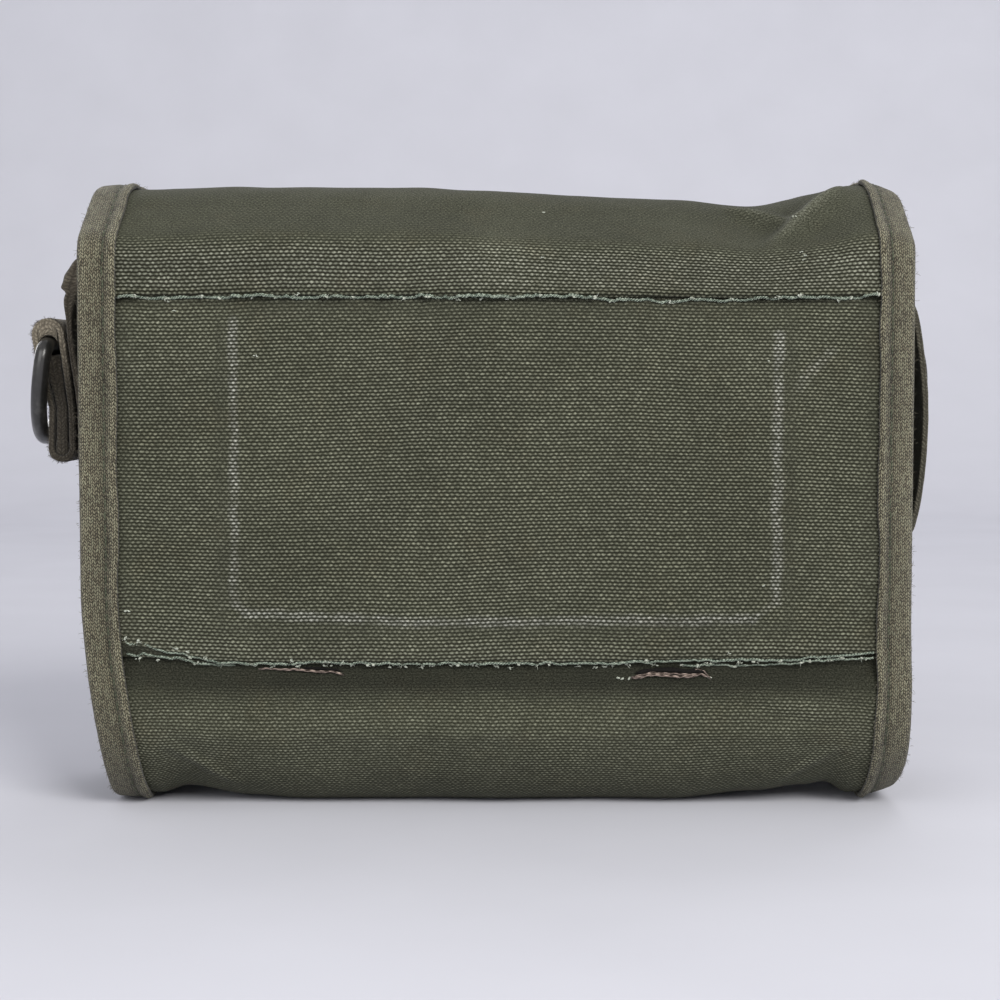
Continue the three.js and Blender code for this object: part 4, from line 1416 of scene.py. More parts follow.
@dataclass
class SidePanels:
    """The two swelling side panels with their turned-out edges."""

    form: PouchForm
    across: int = 40
    along: int = 96
    hem: float = 0.8
    hem_fade: float = 10.0
    top_clear: float = 3.3
    top_fade: float = 0.12
    corner_fade: float = 0.125
    lip_spread: float = 1.05

    def under_wrap(self, s: Array, face: int) -> Array:
        """Where the panel's edge lies under the wrap, on its outer (0) or inner (1) face."""
        return -self.form.layer * (1.0 + self.form.doubled(s)) - (1 - face) * self.form.canvas

    def sewn_edges(self, u: Array, t: Array) -> tuple[Array, Array, Array]:
        """Lengths along the wrap of the front and back edges at shares t, and of the base at shares u."""
        corner, base, back = (self.form.line.ends[name] for name in ("front_corner", "base", "back"))
        return corner * (1.0 - t), base + (back - base) * t, corner + (base - corner) * u

    def patch(self, side: Side, u: Array, t: Array, face: int) -> Array:
        """A patch between four edges in Y and Z: the sum of both pairs' blends less the corners' blend.

        Args:
            side: which end.
            u: from the front edge (0) to the back edge (1).
            t: from the base (0) to the top edge (1).
            face: outer (0) or inner (1) skin.

        Returns:
            Y and Z over the grid of t and u.
        """
        ends = self.form.line.ends

        def edge(s: Array, out: Array) -> Array:
            """Y and Z on the wrap's edge."""
            return self.form.point(side.value * self.form.body_half, s, out)[..., 1:]

        front, back, base = (edge(s, self.under_wrap(s, face)) for s in self.sewn_edges(u, t))
        top_s = ends["flap_corner"] + (ends["back"] - ends["flap_corner"]) * u
        roof = edge(top_s, -self.top_clear - (1 - face) * self.form.canvas)
        near = smoothstep(np.minimum(u, 1.0 - u), 0.0, self.corner_fade)[:, None]
        front, back, base = front[:, None], back[:, None], base[None]
        corner = np.where(u[:, None] < 0.5, front[-1], back[-1])
        top = (corner + (roof - corner) * near)[None]
        p, q = u[None, :, None], t[:, None, None]
        sides = base * (1 - q) + top * q + front * (1 - p) + back * p
        corners = base[:, :1] * (1 - p) * (1 - q) + base[:, -1:] * p * (1 - q)
        return sides - corners - front[-1:] * (1 - p) * q - back[-1:] * p * q

    def skin(self, side: Side, face: int) -> tuple[Array, Array, Array]:
        """One skin of a side panel: the patch, swelling out along X, and the lip that turns out round it.

        Args:
            side: which end.
            face: outer (0) or inner (1) skin.

        Returns:
            Points, rim point numbers in order, and the flat place of each point.
        """
        form, back_end = self.form, self.form.line.ends["back"]
        u, t = np.linspace(0.0, 1.0, self.across), np.linspace(0.0, 1.0, self.along)
        flat = self.patch(side, u, t, face)
        y, z = flat[..., 0], flat[..., 1]
        waves = 0.5 * noise(21, 16.0, y, z) * smoothstep(np.minimum(u, 1 - u), 0.02, 0.2)[None]
        level = smoothstep(np.minimum(t, 1 - t), 0.03, 0.2)[:, None]
        waves = waves * level * (1 - 0.6 * hump(y - form.middle_y, 20.0))
        out = form.body_half - form.taper[side] * form.low_share(z)
        out = out + form.swell(side, y, z) * smoothstep(1 - t, 0.0, self.top_fade)[:, None]
        points = np.stack([side.value * (out + np.minimum(waves, 0.0) - face * form.canvas), y, z], axis=-1)
        index = np.arange(y.size).reshape(y.shape)
        rim = np.concatenate([index[0, :-1], index[:, -1], index[-1, -2:0:-1], index[:0:-1, 0]])
        front_s, back_s, base_s = self.sewn_edges(u, t)
        s = np.concatenate([base_s[:-1], back_s, np.full(self.across - 2, np.nan), front_s[:0:-1]])
        sewn = ~np.isnan(s)
        known = np.where(sewn, s, 0.0)
        turned = smoothstep(np.minimum(known, back_end - known), 0.0, self.hem_fade)
        reach = self.hem + (form.flange - self.hem) * turned
        lip = form.point(side.value * (form.body_half + reach), known, self.under_wrap(known, face))
        points, flat = points.reshape(-1, 3), flat.reshape(-1, 2)
        free = points[rim] + np.array([side.value * (self.hem + face * form.canvas), 0.0, 0.0])
        lip = np.where(sewn[:, None], lip, free)
        return np.vstack([points, lip]), rim, np.vstack([flat, flat[rim] * self.lip_spread])

    def build(self, finish: Material) -> None:
        """Builds and dresses both panels.

        Args:
            finish: the canvas.
        """
        for side in Side:
            outer, rim, cloth = self.skin(side, 0)
            inner, _, _ = self.skin(side, 1)
            lip = self.across * self.along + np.arange(len(rim))
            join = np.stack([np.roll(rim, -1), rim, lip, np.roll(lip, -1)], axis=-1)
            faces = np.concatenate([grid_faces(self.along, self.across), join])
            y, z = cloth.T
            worn, felt = 0.15 * noise(22, 15.0, y, z), 0.4 + 0.3 * smoothstep(-z, -30.0, -5.0)
            values = {"worn": worn, "felt": felt, "tone": np.ones(len(z))}
            name = f"{side.name.lower()}_side_panel"
            piece = cloth_wall(f"{name}_cloth", outer, inner, faces, cloth, values)
            dress(piece, finish, [name])


@dataclass
class Bindings:
    """Folded tape that binds both edges of the wrap, sewn through along its middle."""

    form: PouchForm
    tape: float = 1.0
    gap: float = 0.3
    fold: float = 10.0
    fold_round: tuple[float, float] = (1.7, 0.8)
    inner_leg: float = 2.4
    station: float = 0.9
    stitch: float = 3.2
    stitch_line: float = 3.2
    groove: float = 0.42
    leg: Array = table(0.0, 0.15, 0.45, 0.9, 1.5, 2.0, 2.4, 2.82, 3.25, 3.7, 4.5, 5.6, 7.1)

    def held(self, s: Array) -> Array:
        """Thickness of the cloth that the tape holds: wrap, overlaps and lip, or the wrap alone over the top.

        Args:
            s: places along the wrap.

        Returns:
            The thickness at each.
        """
        form, ends = self.form, self.form.line.ends
        sewn = form.layer * (1.0 + form.doubled(s)) + form.canvas
        return sewn + (form.canvas - sewn) * smoothstep(s, ends["back"], ends["shoulder"])

    def profile(self, s: Array, face: int) -> tuple[Array, Array]:
        """The tape's U across the edge: outer leg, half an ellipse round the fold, inner leg.

        Args:
            s: places along the wrap.
            face: the U's outer (0) or inner (1) skin.

        Returns:
            Distance past the body's edge and distance out from the wrap, over the grid of s and profile.
        """
        thick = self.tape * (1 - face)
        top = self.gap + thick
        bottom = -self.held(s) - self.gap - thick
        middle, half = (top + bottom) / 2, (top - bottom) / 2
        tip = self.fold - self.tape * face
        start = tip - self.fold_round[face]
        leg = self.leg / self.leg[-1] * (start - 0.25)
        angle = np.linspace(np.pi / 2, -np.pi / 2, 10)
        round_w = start + (tip - start) * np.cos(angle) ** 0.8
        round_o = np.sign(np.sin(angle)) * np.abs(np.sin(angle)) ** 0.75
        back = np.linspace(start - 0.4, self.inner_leg, 5)
        across = np.concatenate([leg, round_w, back])
        level = np.concatenate([np.ones(len(leg)), round_o, -np.ones(len(back))])
        return np.broadcast_to(across, (len(s), len(across))), middle[:, None] + half[:, None] * level

    def in_groove(self, w: Array, half: float) -> Array:
        """Share of the stitch line's groove at a distance past the body's edge."""
        return np.exp(-(((w - self.stitch_line) / half) ** 2))

    def relief(self, w: Array, s: Array) -> Array:
        """The upper leg's relief: a rolled edge, two soft rolls and a sunk stitch line between them.

        Args:
            w: distances past the body's edge.
            s: places along the wrap.

        Returns:
            Heights in millimetres.
        """
        dimple = 0.7 + 0.3 * np.cos(TURN * s / self.stitch)
        groove = -self.groove * dimple * self.in_groove(w, 0.75)
        rolls = 0.22 * np.sin(np.pi * np.clip(w / self.fold, 0, 1)) ** 0.7
        edge = 0.4 * hump(w - 1.1, 1.2) - 0.35 * np.maximum(0.0, 1.0 - w / 0.5) ** 2
        return groove + rolls + edge + 0.14 * noise(31, 3.6, w, s)

    def build(self, finish: Material) -> None:
        """Builds and dresses both tapes: the U carried along the wrap's edge.

        Args:
            finish: the tape's material.
        """
        form, length = self.form, self.form.line.length
        s = np.linspace(0.0, length, int(length / self.station) + 1)
        (w, out), (inner_w, inner_out) = self.profile(s, 0), self.profile(s, 1)
        s, upper = np.broadcast_to(s[:, None], w.shape), out > 0.0
        steps = np.hypot(np.diff(w, axis=1, prepend=w[:, :1]), np.diff(out, axis=1, prepend=out[:, :1]))
        cloth = np.stack([np.broadcast_to(steps.cumsum(axis=1)[:1], w.shape), s], axis=-1)
        worn = 0.1 * hump(w - 1.0, 1.6) * upper + 0.08 * hump(w - 9.0, 2.0)
        # Painted shade: darker in the stitch groove and on the lower leg under the edge.
        grime_and_shade = 0.55 * self.in_groove(w, 0.8) * upper + 0.3 * (out < 0)
        for side in Side:
            seed = 33 + side.value
            waver = 0.4 * noise(seed, 9.0, s) * (1.0 - smoothstep(w, 0.0, 6.0)) * upper
            raised = out + self.relief(w, s + seed) * upper
            outer = form.point(side.value * (form.body_half + w + waver), s, raised)
            inner = form.point(side.value * (form.body_half + inner_w + waver), s, inner_out)
            name, values = f"{side.name.lower()}_binding", {"worn": worn, "grime_and_shade": grime_and_shade}
            piece = cloth_wall(f"{name}_tape", outer, inner, grid_faces(*w.shape), cloth, values)
            dress(piece, finish, [name])


@dataclass
class WebbingBand:
    """Woven webbing as a rounded band carried along a path in X and Z, straight across Y."""

    middle_y: float
    width: float = 25.4
    thickness: float = 2.0
    points: int = 56

    def section(self, thickness: Array) -> tuple[Array, Array]:
        """A flat loop with round edges: signed powers of the cosine across and of the sine through.

        Args:
            thickness: the band's thickness at each section.

        Returns:
            Distance across and through, by section and place round the loop.
        """
        angle = TURN * (np.arange(self.points) + 0.5) / self.points
        across = np.sign(np.cos(angle)) * np.abs(np.cos(angle)) ** 0.22 * self.width / 2
        through = np.sign(np.sin(angle)) * np.abs(np.sin(angle)) ** 0.3
        return np.broadcast_to(across, (len(thickness), self.points)), thickness[:, None] / 2 * through

    def carry(
        self, name: str, path: Array, thickness: Array, seed: int, closed: bool = False,
        guide: Optional[Array] = None, worn: Union[Array, float] = 0.0, grime_and_shade: Union[Array, float] = 0.0,
    ) -> Piece:
        """The band along a path, its thickness square to the path, with a little waver in its surface.

        Args:
            name: the piece's name.
            path: the band's middle line in X and Z.
            thickness: its thickness at each point.
            seed: of the waver.
            closed: True where the path is a loop.
            guide: a line that the thickness is square to, where that isn't the path.
            worn: how much paler it goes at each point of the path.
            grime_and_shade: how much darker it goes there.

        Returns:
            The new object.
        """
        if closed:
            tangent = np.roll(path, -1, axis=0) - np.roll(path, 1, axis=0)
        else:
            tangent = np.gradient(path if guide is None else guide, axis=0)
        tangent = unit(tangent)
        normal = np.column_stack([-tangent[:, 1], tangent[:, 0]])
        across, through = self.section(thickness)
        v = travelled(path)
        through = through * (1.0 + 0.10 * noise(seed, 2.2, across, v[:, None]))
        edge = across * (1.0 + 0.006 * noise(seed + 1, 2.6, v[:, None], np.sign(across)))
        x, z = path[:, :1] + normal[:, :1] * through, path[:, 1:] + normal[:, 1:] * through
        sections = np.stack([x, self.middle_y + edge, z], axis=-1)
        loop = np.stack([across[0], through.mean(axis=0)], axis=-1)
        u = travelled(np.vstack([loop, loop[:1]]))
        if closed:
            v = np.append(v, v[-1] + np.linalg.norm(path[-1] - path[0]))
        fringe = smoothstep(np.abs(across), self.width / 2 - 1.6, self.width / 2 - 0.2)
        shares = {
            "worn": 0.12 * fringe + np.reshape(worn, (-1, 1)),
            "grime_and_shade": 0.0 * fringe + np.reshape(grime_and_shade, (-1, 1)),
        }
        return swept_mesh(name, sections, u, v, closed, shares)


@dataclass
class RingMount:
    """Left side: a sewn strip, the loop folded round the ring's bar, and the ring."""

    form: PouchForm
    gap: float = 0.3
    strip_bottom: float = 72.0
    strip_top: float = 141.5
    stand_off: float = 0.2
    cap_length: float = 8.0
    cap_fill: float = 1.9
    cap_extra: float = 2.1
    cap_thin: float = 2.1
    wire: float = 4.2
    ring_inner_width: float = 29.0
    ring_height: float = 28.4
    ring_lean: float = math.radians(8.5)
    ring_stations: int = 180
    ring_sides: int = 28
    bar_z: float = 119.2
    loop_clear: float = 0.35
    loop_top_z: float = 122.0
    loop_fullness: float = 3.4
    loop_stations: int = 240
    waist_z: float = 103.0
    waist_half: float = 3.5
    lobe_z: float = 92.4
    lobe_half: float = 3.75
    band: WebbingBand = field(init=False)

    def __post_init__(self) -> None:
        """Sets the webbing in the middle of the side."""
        self.band = WebbingBand(self.form.middle_y)

    def strip_back(self, z: Array) -> Array:
        """Distance of the strip's inner face from the middle of the pouch."""
        swell = self.form.swell(Side.LEFT, self.form.middle_y, z)
        return self.form.body_half + swell + self.gap + self.stand_off

    def strip_face(self, z: float) -> float:
        """Distance of the strip's outer face from the middle of the pouch."""
        return float(self.strip_back(z)) + self.band.thickness

    @property
    def loop_radius(self) -> float:
        """Outer radius of the loop round the bar."""
        return self.wire / 2 + self.loop_clear + self.band.thickness

    @property
    def bar_x(self) -> float:
        """Distance of the ring's bar from the middle of the pouch."""
        return self.strip_face(self.loop_top_z) + self.gap + self.loop_radius

    def strip(self, finish: Material) -> None:
        """The sewn strip: a band that follows the side's swell, with a thicker turned-under cap at its top.

        Args:
            finish: the webbing.
        """
        z = np.linspace(self.strip_bottom, self.strip_top, 150)
        cap = self.strip_top - self.cap_length
        thick = self.band.thickness + self.cap_fill * smoothstep(z, cap - 8.0, cap - 0.8)
        thick = thick + self.cap_extra * smoothstep(z, cap - 0.9, cap + 0.9)
        thick = thick - self.cap_thin * np.clip((z - cap) / self.cap_length, 0.0, 1.0) ** 4
        path = np.column_stack([-(self.strip_back(z) + thick / 2), z])
        upright = np.column_stack([0.0 * z, z])
        grime_and_shade = 0.62 - 0.26 * smoothstep(z, cap - 2.0, cap + 1.0)
        piece = self.band.carry("ring_strip_webbing", path, thick, 41, guide=upright, grime_and_shade=grime_and_shade)
        dress(piece, finish, ["ring_strip"])

    def side_lines(self) -> tuple[Array, Array]:
        """The loop's two sides below its arc, from the top down to the lobe.

        The outer side is a quadratic curve to the waist and a straight, and the inner side two straights.

        Returns:
            Points in X and Z on the outer and on the inner side.
        """
        waist_x = self.strip_face(self.waist_z) + self.gap + self.waist_half
        lobe_x = self.strip_face(self.lobe_z) + self.gap + self.lobe_half
        start = (-self.bar_x - self.loop_radius, self.loop_top_z)
        heading = (-self.bar_x - self.loop_fullness, self.bar_z - self.loop_radius)
        curve = bend(start, heading, (-waist_x - self.waist_half, self.waist_z), 30)
        inner = [
            (-self.bar_x + self.loop_radius, self.loop_top_z), (-waist_x + self.waist_half, self.waist_z),
            (-lobe_x + self.lobe_half, self.lobe_z),
        ]
        return np.vstack([curve, (-lobe_x - self.lobe_half, self.lobe_z)]), np.array(inner)

    def tail(self, z: Array) -> tuple[Array, Array]:
        """Middle of the loop in X and half its depth, at heights below its arc."""
        low, high = (follow(line[::-1, ::-1], z) for line in self.side_lines())
        return (low + high) / 2, (high - low) / 2

    def loop_path(self, inset: float) -> Array:
        """The loop's outline drawn in by a distance: an arc over the bar, two sides, and a round lobe below.

        Args:
            inset: how far inside the outline.

        Returns:
            Points in X and Z round the loop.
        """
        outer, inner = self.side_lines()
        lobe_x = -(outer[-1, 0] + inner[-1, 0]) / 2
        radius, lobe = self.loop_radius - inset, self.lobe_half - inset
        over = arc((-self.bar_x, self.loop_top_z), (radius, radius), 0.0, np.pi, 60)
        foot = arc((-lobe_x, self.lobe_z), (lobe, lobe), np.pi, TURN, 30)
        shift = np.array([inset, 0.0])
        rough = np.vstack([over, outer[1:-1] + shift, foot, inner[1:2] - shift, over[:1]])
        even = evenly(rough, self.loop_stations)
        weights = np.hanning(9)[1:-1] / np.hanning(9).sum()
        shifts = np.arange(len(weights)) - len(weights) // 2
        return sum(w * np.roll(even, k, axis=0) for w, k in zip(weights, shifts))

    def loop(self, finish: Material) -> None:
        """The loop as a closed band, the folded end inside its tail, and the turn that pads it over the bar.

        Args:
            finish: the webbing.
        """
        width, middle = self.band.width, self.form.middle_y
        path = self.loop_path(self.band.thickness / 2)
        rise = smoothstep(path[:, 1], self.waist_z + 5.0, self.bar_z - 1.0)
        # Paler over the bar and darker down the tail.
        loop_tones = {"worn": 0.6 * rise, "grime_and_shade": 0.72 * (1.0 - rise)}
        thick = np.full(len(path), self.band.thickness)
        band = self.band.carry("ring_loop_webbing", path, thick, 43, closed=True, **loop_tones)
        dress(band, finish, ["ring_loop"])
        float(travelled(path)[-1]) * MM

        z = np.linspace(self.lobe_z - self.lobe_half + 2.0, self.bar_z - 2.7, 50)
        x, room = self.tail(z)
        thick = 2.0 * (room - self.band.thickness) + 0.25
        fill_band = WebbingBand(middle, width - 0.8, float(thick.max()))
        fill = fill_band.carry("ring_loop_fold", np.column_stack([x, z]), thick, 45, grime_and_shade=0.8)
        dress(fill, finish)

        eye = self.wire / 2 + self.loop_clear
        arch = arc(
            (0.0, (self.bar_z + self.loop_top_z) / 2 + 0.5), (eye, eye), 0.99 * np.pi, 0.01 * np.pi, 40,
        )
        level = arch * np.array([1.0, 0.0])
        deep = np.full(len(arch), self.loop_top_z - self.bar_z + 1.3)
        pad_band = WebbingBand(middle, width - 0.1, float(deep[0]))
        arch = arch - np.array([self.bar_x, 0.0])
        pad = pad_band.carry("ring_loop_turn", arch, deep, 49, guide=level, worn=0.55)
        dress(pad, finish)

    def ring(self, finish: Material) -> None:
        """The ring: a circle carried round a D of a straight bar, two small corners and half an ellipse.

        Args:
            finish: the metal.
        """
        half, corner = (self.ring_inner_width + self.wire) / 2, self.wire
        drop = self.ring_height - self.wire
        bar = np.linspace((-half + corner, 0.0), (half - corner, 0.0), 30)
        bow = arc((0.0, -corner), (half, drop - corner), 0.0, -np.pi, 90)
        right = bend((half - corner, 0.0), (half, 0.0), (half, -corner), 24)
        left = bend((-half, -corner), (-half, 0.0), (-half + corner, 0.0), 24)
        rough = np.vstack([bar, right[1:], bow[1:], left[1:]])
        y, down = evenly(rough, self.ring_stations).T
        lean_x, lean_z = math.sin(self.ring_lean), math.cos(self.ring_lean)
        path = np.column_stack([lean_x * down, y, lean_z * down])
        tangent = unit(np.roll(path, -1, axis=0) - np.roll(path, 1, axis=0))
        across = np.array([lean_z, 0.0, -lean_x])
        sections = path[:, None] + self.wire / 2 * circle(self.ring_sides, across, np.cross(tangent, across))
        sections = sections + np.array([-self.bar_x, self.form.middle_y, self.bar_z])
        u = np.linspace(0.0, np.pi * self.wire, self.ring_sides + 1)
        v = np.linspace(0.0, travelled(rough)[-1], self.ring_stations + 1)
        piece = swept_mesh("carry_ring_wire", sections, u, v, closed=True)
        dress(piece, finish, ["carry_ring"], Body.RING)

    def build(self, webbing: Material, metal: Material) -> None:
        """Builds and dresses the strip, the loop and the ring.

        Args:
            webbing: finish of the strip and the loop.
            metal: finish of the ring.
        """
        self.strip(webbing)
        self.loop(webbing)
        self.ring(metal)

    def edge_hairs(self, rng: np.random.Generator, count: int) -> tuple[Array, Array]:
        """Roots and directions of loose hairs along the near and far edges of the loop.

        Args:
            rng: where the draws come from.
            count: how many hairs.

        Returns:
            A point and a direction for each.
        """
        path = self.loop_path(0.0)
        path = path[rng.integers(0, len(path), count)]
        x, z = path.T
        away = unit(path - np.column_stack([self.tail(z)[0], z - 0.4]))
        end = np.where(rng.random(count) < 0.75, -1.0, 1.0)
        y = self.form.middle_y + end * (self.band.width / 2 - 0.5 * rng.random(count))
        roots = np.column_stack([x - 0.3 * away[:, 0], y, z - 0.3 * away[:, 1]])
        along = np.column_stack([away[:, 0], 0.7 * end, away[:, 1]]) + rng.normal(0.0, 0.5, (count, 3))
        return roots, unit(along)


@dataclass
class SnapTab:
    """Right side: a bowed webbing tab with its snap, and the flap's own snap."""

    form: PouchForm
    gap: float = 0.3
    bottom: float = 70.0
    top: float = 132.0
    bow: float = 4.4
    fullness: float = 0.55
    snap_z: float = 113.0
    flap_snap_z: float = 74.0
    cap: float = 7.0
    dome: float = 1.6
    shank: float = 2.0
    socket: float = 5.2
    sides: int = 40
    band: WebbingBand = field(init=False)

    def __post_init__(self) -> None:
        """Sets the webbing in the middle of the side."""
        self.band = WebbingBand(self.form.middle_y)

    def bow_at(self, z: Array) -> Array:
        """How far the tab bows out at a height: a half sine, filled out."""
        rise = np.sin(np.pi * (np.asarray(z, float) - self.bottom) / (self.top - self.bottom))
        return self.bow * np.maximum(rise, 0.0) ** self.fullness

    def tab_face(self, z: Array) -> Array:
        """Distance of the tab's outer face from the middle of the pouch: side, gap, bow and webbing."""
        swell = self.form.swell(Side.RIGHT, self.form.middle_y, z)
        return self.form.body_half + swell + self.gap + self.bow_at(z) + self.band.thickness

    def tab(self, finish: Material) -> None:
        """The tab: a band bowed away from the side between its sewn ends.

        Args:
            finish: the webbing.
        """
        z = np.linspace(self.bottom, self.top, 80)
        path = np.column_stack([self.tab_face(z) - self.band.thickness / 2, z])
        piece = self.band.carry("snap_tab_webbing", path, np.full(len(z), self.band.thickness), 47)
        dress(piece, finish, ["snap_tab"])
        float(travelled(path)[-1]) * MM

    def snap(
        self, node: str, place: Array, axis: Sequence[float], cloth: float, reach: float, finish: Material
    ) -> None:
        """A press snap: a profile of radius and height turned about its shank, from socket to domed cap.

        Args:
            node: the solid that it stands for.
            place: a point on the cloth's outer face.
            axis: the shank's direction, outwards.
            cloth: thickness of the cloth it goes through.
            reach: height of the socket behind the cloth.
            finish: the metal.
        """
        front, back, cap, socket = self.gap, -cloth - self.gap, self.cap, self.socket
        dome = np.linspace(0.05, 1.0, 12)[::-1]
        rim = [(cap - 0.2, front), (cap, front + 0.35), (cap * 0.985, front + 0.75)]
        crown = np.column_stack([dome * cap * 0.94, front + 0.95 + (self.dome - 0.95) * (1 - dome**2.4)])
        low = [
            (0.3, back - reach), (socket - 0.4, back - reach), (socket, back - reach + 0.3),
            (socket, back - 0.2), (socket - 0.3, back), (self.shank, back), (self.shank, front),
        ]
        profile = np.vstack([low, rim, crown])
        axis = unit(np.asarray(axis, float))
        first = unit(np.cross(axis, (0.0, 0.0, 1.0)))
        ring = circle(self.sides, first, np.cross(axis, first))
        sections = place + profile[:, 1, None, None] * axis + profile[:, 0, None, None] * ring
        u = np.linspace(0.0, self.sides, self.sides + 1)
        piece = swept_mesh(f"{node}_metal", sections, u, travelled(profile))
        dress(piece, finish, [node])

    def build(self, webbing: Material, metal: Material) -> None:
        """Builds and dresses the tab and both snaps.

        Args:
            webbing: finish of the tab.
            metal: finish of the snaps.
        """
        form, line, z = self.form, self.form.line, self.snap_z
        slope = float(self.tab_face(z + 1) - self.tab_face(z - 1)) / 2
        place = np.array([float(self.tab_face(z)), form.middle_y, z])
        reach = float(self.bow_at(z)) - 3 * self.gap
        self.snap("tab_snap", place, (1.0, 0.0, -slope), self.band.thickness, reach, metal)
        s = line.length - (self.flap_snap_z - line.flap_end_z)
        reach = line.flap_y - form.canvas - line.front_y - 2 * self.gap
        self.snap("flap_snap", form.point(0.0, s, 0.0), (0.0, 1.0, 0.0), form.canvas, reach, metal)
        self.tab(webbing)


def curved_strands(
    rng: np.random.Generator, roots: Array, along: Array, length: Array, curl: float, steps: int = 5
) -> tuple[Array, Array]:
    """Short curved strands: root + length * (direction * t + sideways * curl * t^2), t from 0 to 1.

    Args:
        rng: where the sideways draws come from.
        roots: where each strand starts.
        along: its direction there.
        length: its length.
        curl: how far it bends aside.
        steps: points along it.

    Returns:
        Points by strand and step, and a direction square to each strand for its circles.
    """
    t = np.linspace(0.0, 1.0, steps)[None, :, None]
    side = unit(np.cross(along, rng.normal(size=along.shape)))
    paths = roots[:, None] + length[:, None, None] * (along[:, None] * t + curl * side[:, None] * t**2)
    return paths, np.cross(along, side)[:, None]


@dataclass
class SeamThreads:
    """Sewing: ropy threads along both back seams, and stitches in the tapes and the flap's hem."""

    form: PouchForm
    lines: SeamLines
    wrap: CanvasWrap
    seed: int = 71
    rope_step: float = 0.22
    rope_pitch: float = 1.5
    stitch: float = 3.2
    stitch_radius: float = 0.24
    hem_stitches: float = 10.0
    tape_hairs: int = 900
    loop_hairs: int = 700
    torn_cells: tuple[float, float, float] = (3.0, 2.5, 1.6)
    # x, z of the white tufts that show best
    tufts: Array = table(
        (-94.2, 45.4), (-90.7, 44.6), (-81.8, 43.1), (-78.3, 42.3), (-78.0, 40.8), (-73.9, 41.0),
        (-91.1, 40.6), (-86.3, 40.0), (-76.2, 39.1), (-69.8, 38.8), (-62.1, 38.7), (-56.9, 38.3),
        (-52.0, 39.8), (-50.4, 38.3), (-43.3, 39.5), (-43.3, 38.5), (-39.3, 39.3), (-37.0, 38.7),
        (28.7, 38.6), (32.4, 38.8), (37.2, 39.9), (39.3, 38.7), (46.1, 38.5), (49.8, 38.4), (52.6, 39.0),
        (59.6, 38.3), (57.8, 41.9), (18.9, 131.3), (24.4, 131.0), (28.4, 129.9), (43.0, 129.4),
        (47.9, 130.9), (57.6, 130.7), (69.6, 131.2), (75.3, 131.7), (79.4, 130.8), (84.5, 129.8),
        (88.0, 130.7), (93.9, 131.5), (-95.0, 130.8), (-90.4, 131.1),
    )
    # x, z along the cloth, and radius of stray lint
    lint: Array = table(
        (-93.8, 52.3, 0.55), (-60.1, 116.3, 0.34), (66.6, 58.8, 0.34), (-82.9, 130.0, 0.42),
        (-80.4, 127.5, 0.3), (67.0, 115.0, 0.3), (31.1, 35.3, 0.62), (53.0, 35.6, 0.4), (10.6, 141.0, 0.3),
        (11.6, 161.2, 0.3), (74.7, 157.4, 0.34), (75.7, 141.6, 0.3), (75.7, 142.9, 0.36),
        (75.7, 144.0, 0.3),
    )
    # x, z of the torn strips and of the near-black strands that paint the shadow in the gaps over them
    torn_left: Array = table(
        (-60.6, 37.5), (-58.2, 37.7), (-54.9, 37.5), (-51.1, 37.4), (-48.2, 37.2), (-45.7, 37.0),
        (-41.6, 36.8), (-38.9, 36.2),
    )
    torn_right: Array = table(
        (33.4, 35.6), (36.0, 36.0), (38.6, 36.5), (42.0, 36.5), (45.5, 36.1), (48.6, 36.0), (51.0, 36.5),
        (52.6, 35.9), (53.4, 35.5),
    )
    torn_curl: Array = table((47.6, 36.4), (49.0, 37.2), (50.4, 37.5), (51.8, 37.0), (52.8, 36.0))
    slit_shadow_left: Array = table((-49.5, 37.9), (-45.0, 37.7), (-41.0, 37.4), (-39.2, 36.9))
    slit_shadow_right: Array = table(
        (34.5, 36.5), (38.0, 37.3), (43.0, 37.4), (48.0, 36.9), (50.0, 37.2), (52.6, 36.8),
    )
    # a direction that no thread along the back runs in
    up: Array = table(0.0, 0.3, 1.0)

    def under_seam(self, z: Array) -> Array:
        """How far the cloth below each seam lies in, where it dips under the panel that covers it."""
        seams, ramp = (self.form.line.lower_seam_z, self.form.line.upper_seam_z), self.form.ramp
        return -0.75 * self.form.layer * sum(smoothstep(z, h - ramp, h) * (z < h - 0.1) for h in seams)

    def on_back(self, x: Array, z: Array, rise: Array) -> Array:
        """Points by the back's seams, a distance out of the cloth there."""
        return self.form.point(x, self.form.back_s(z), rise + self.under_seam(z))

    def rope(self, name: str, rows: Array, radius: float, rise: float, seed: int, finish: Material) -> None:
        """A two-ply thread along a seam: two strands that turn about the seam's line half a turn apart.

        A strand lies at the line's point plus 0.5 * radius * (sin, cos) of its turn, along the wrap and out.

        Args:
            name: the piece's name.
            rows: x and z that the thread runs through.
            radius: of the whole thread.
            rise: how far its middle stands out of the covering cloth's face.
            seed: of its bends.
            finish: the thread.
        """
        x = np.arange(rows[0, 0], rows[-1, 0], self.rope_step)
        z = follow(rows, x) + (0.26 * noise(seed, 3.1, x) + 0.2 * noise(seed + 1, 1.2, x))
        turn = TURN * (x + 0.5 * noise(seed + 2, 2.0, x)) / self.rope_pitch + np.array([[0.0], [np.pi]])
        lift = rise + 0.24 * noise(seed + 3, 2.2, x) + self.under_seam(z)
        s = self.form.back_s(z) + 0.5 * radius * np.sin(turn)
        paths = self.form.point(x, s, lift + 0.5 * radius * np.cos(turn))
        swing = 0.6 + 0.16 * noise(seed + 4, 0.9, x) + 0.14 * noise(seed + 5, 7.0, x)
        dress(strand_mesh(name, paths, radius * swing, 6, self.up), finish)

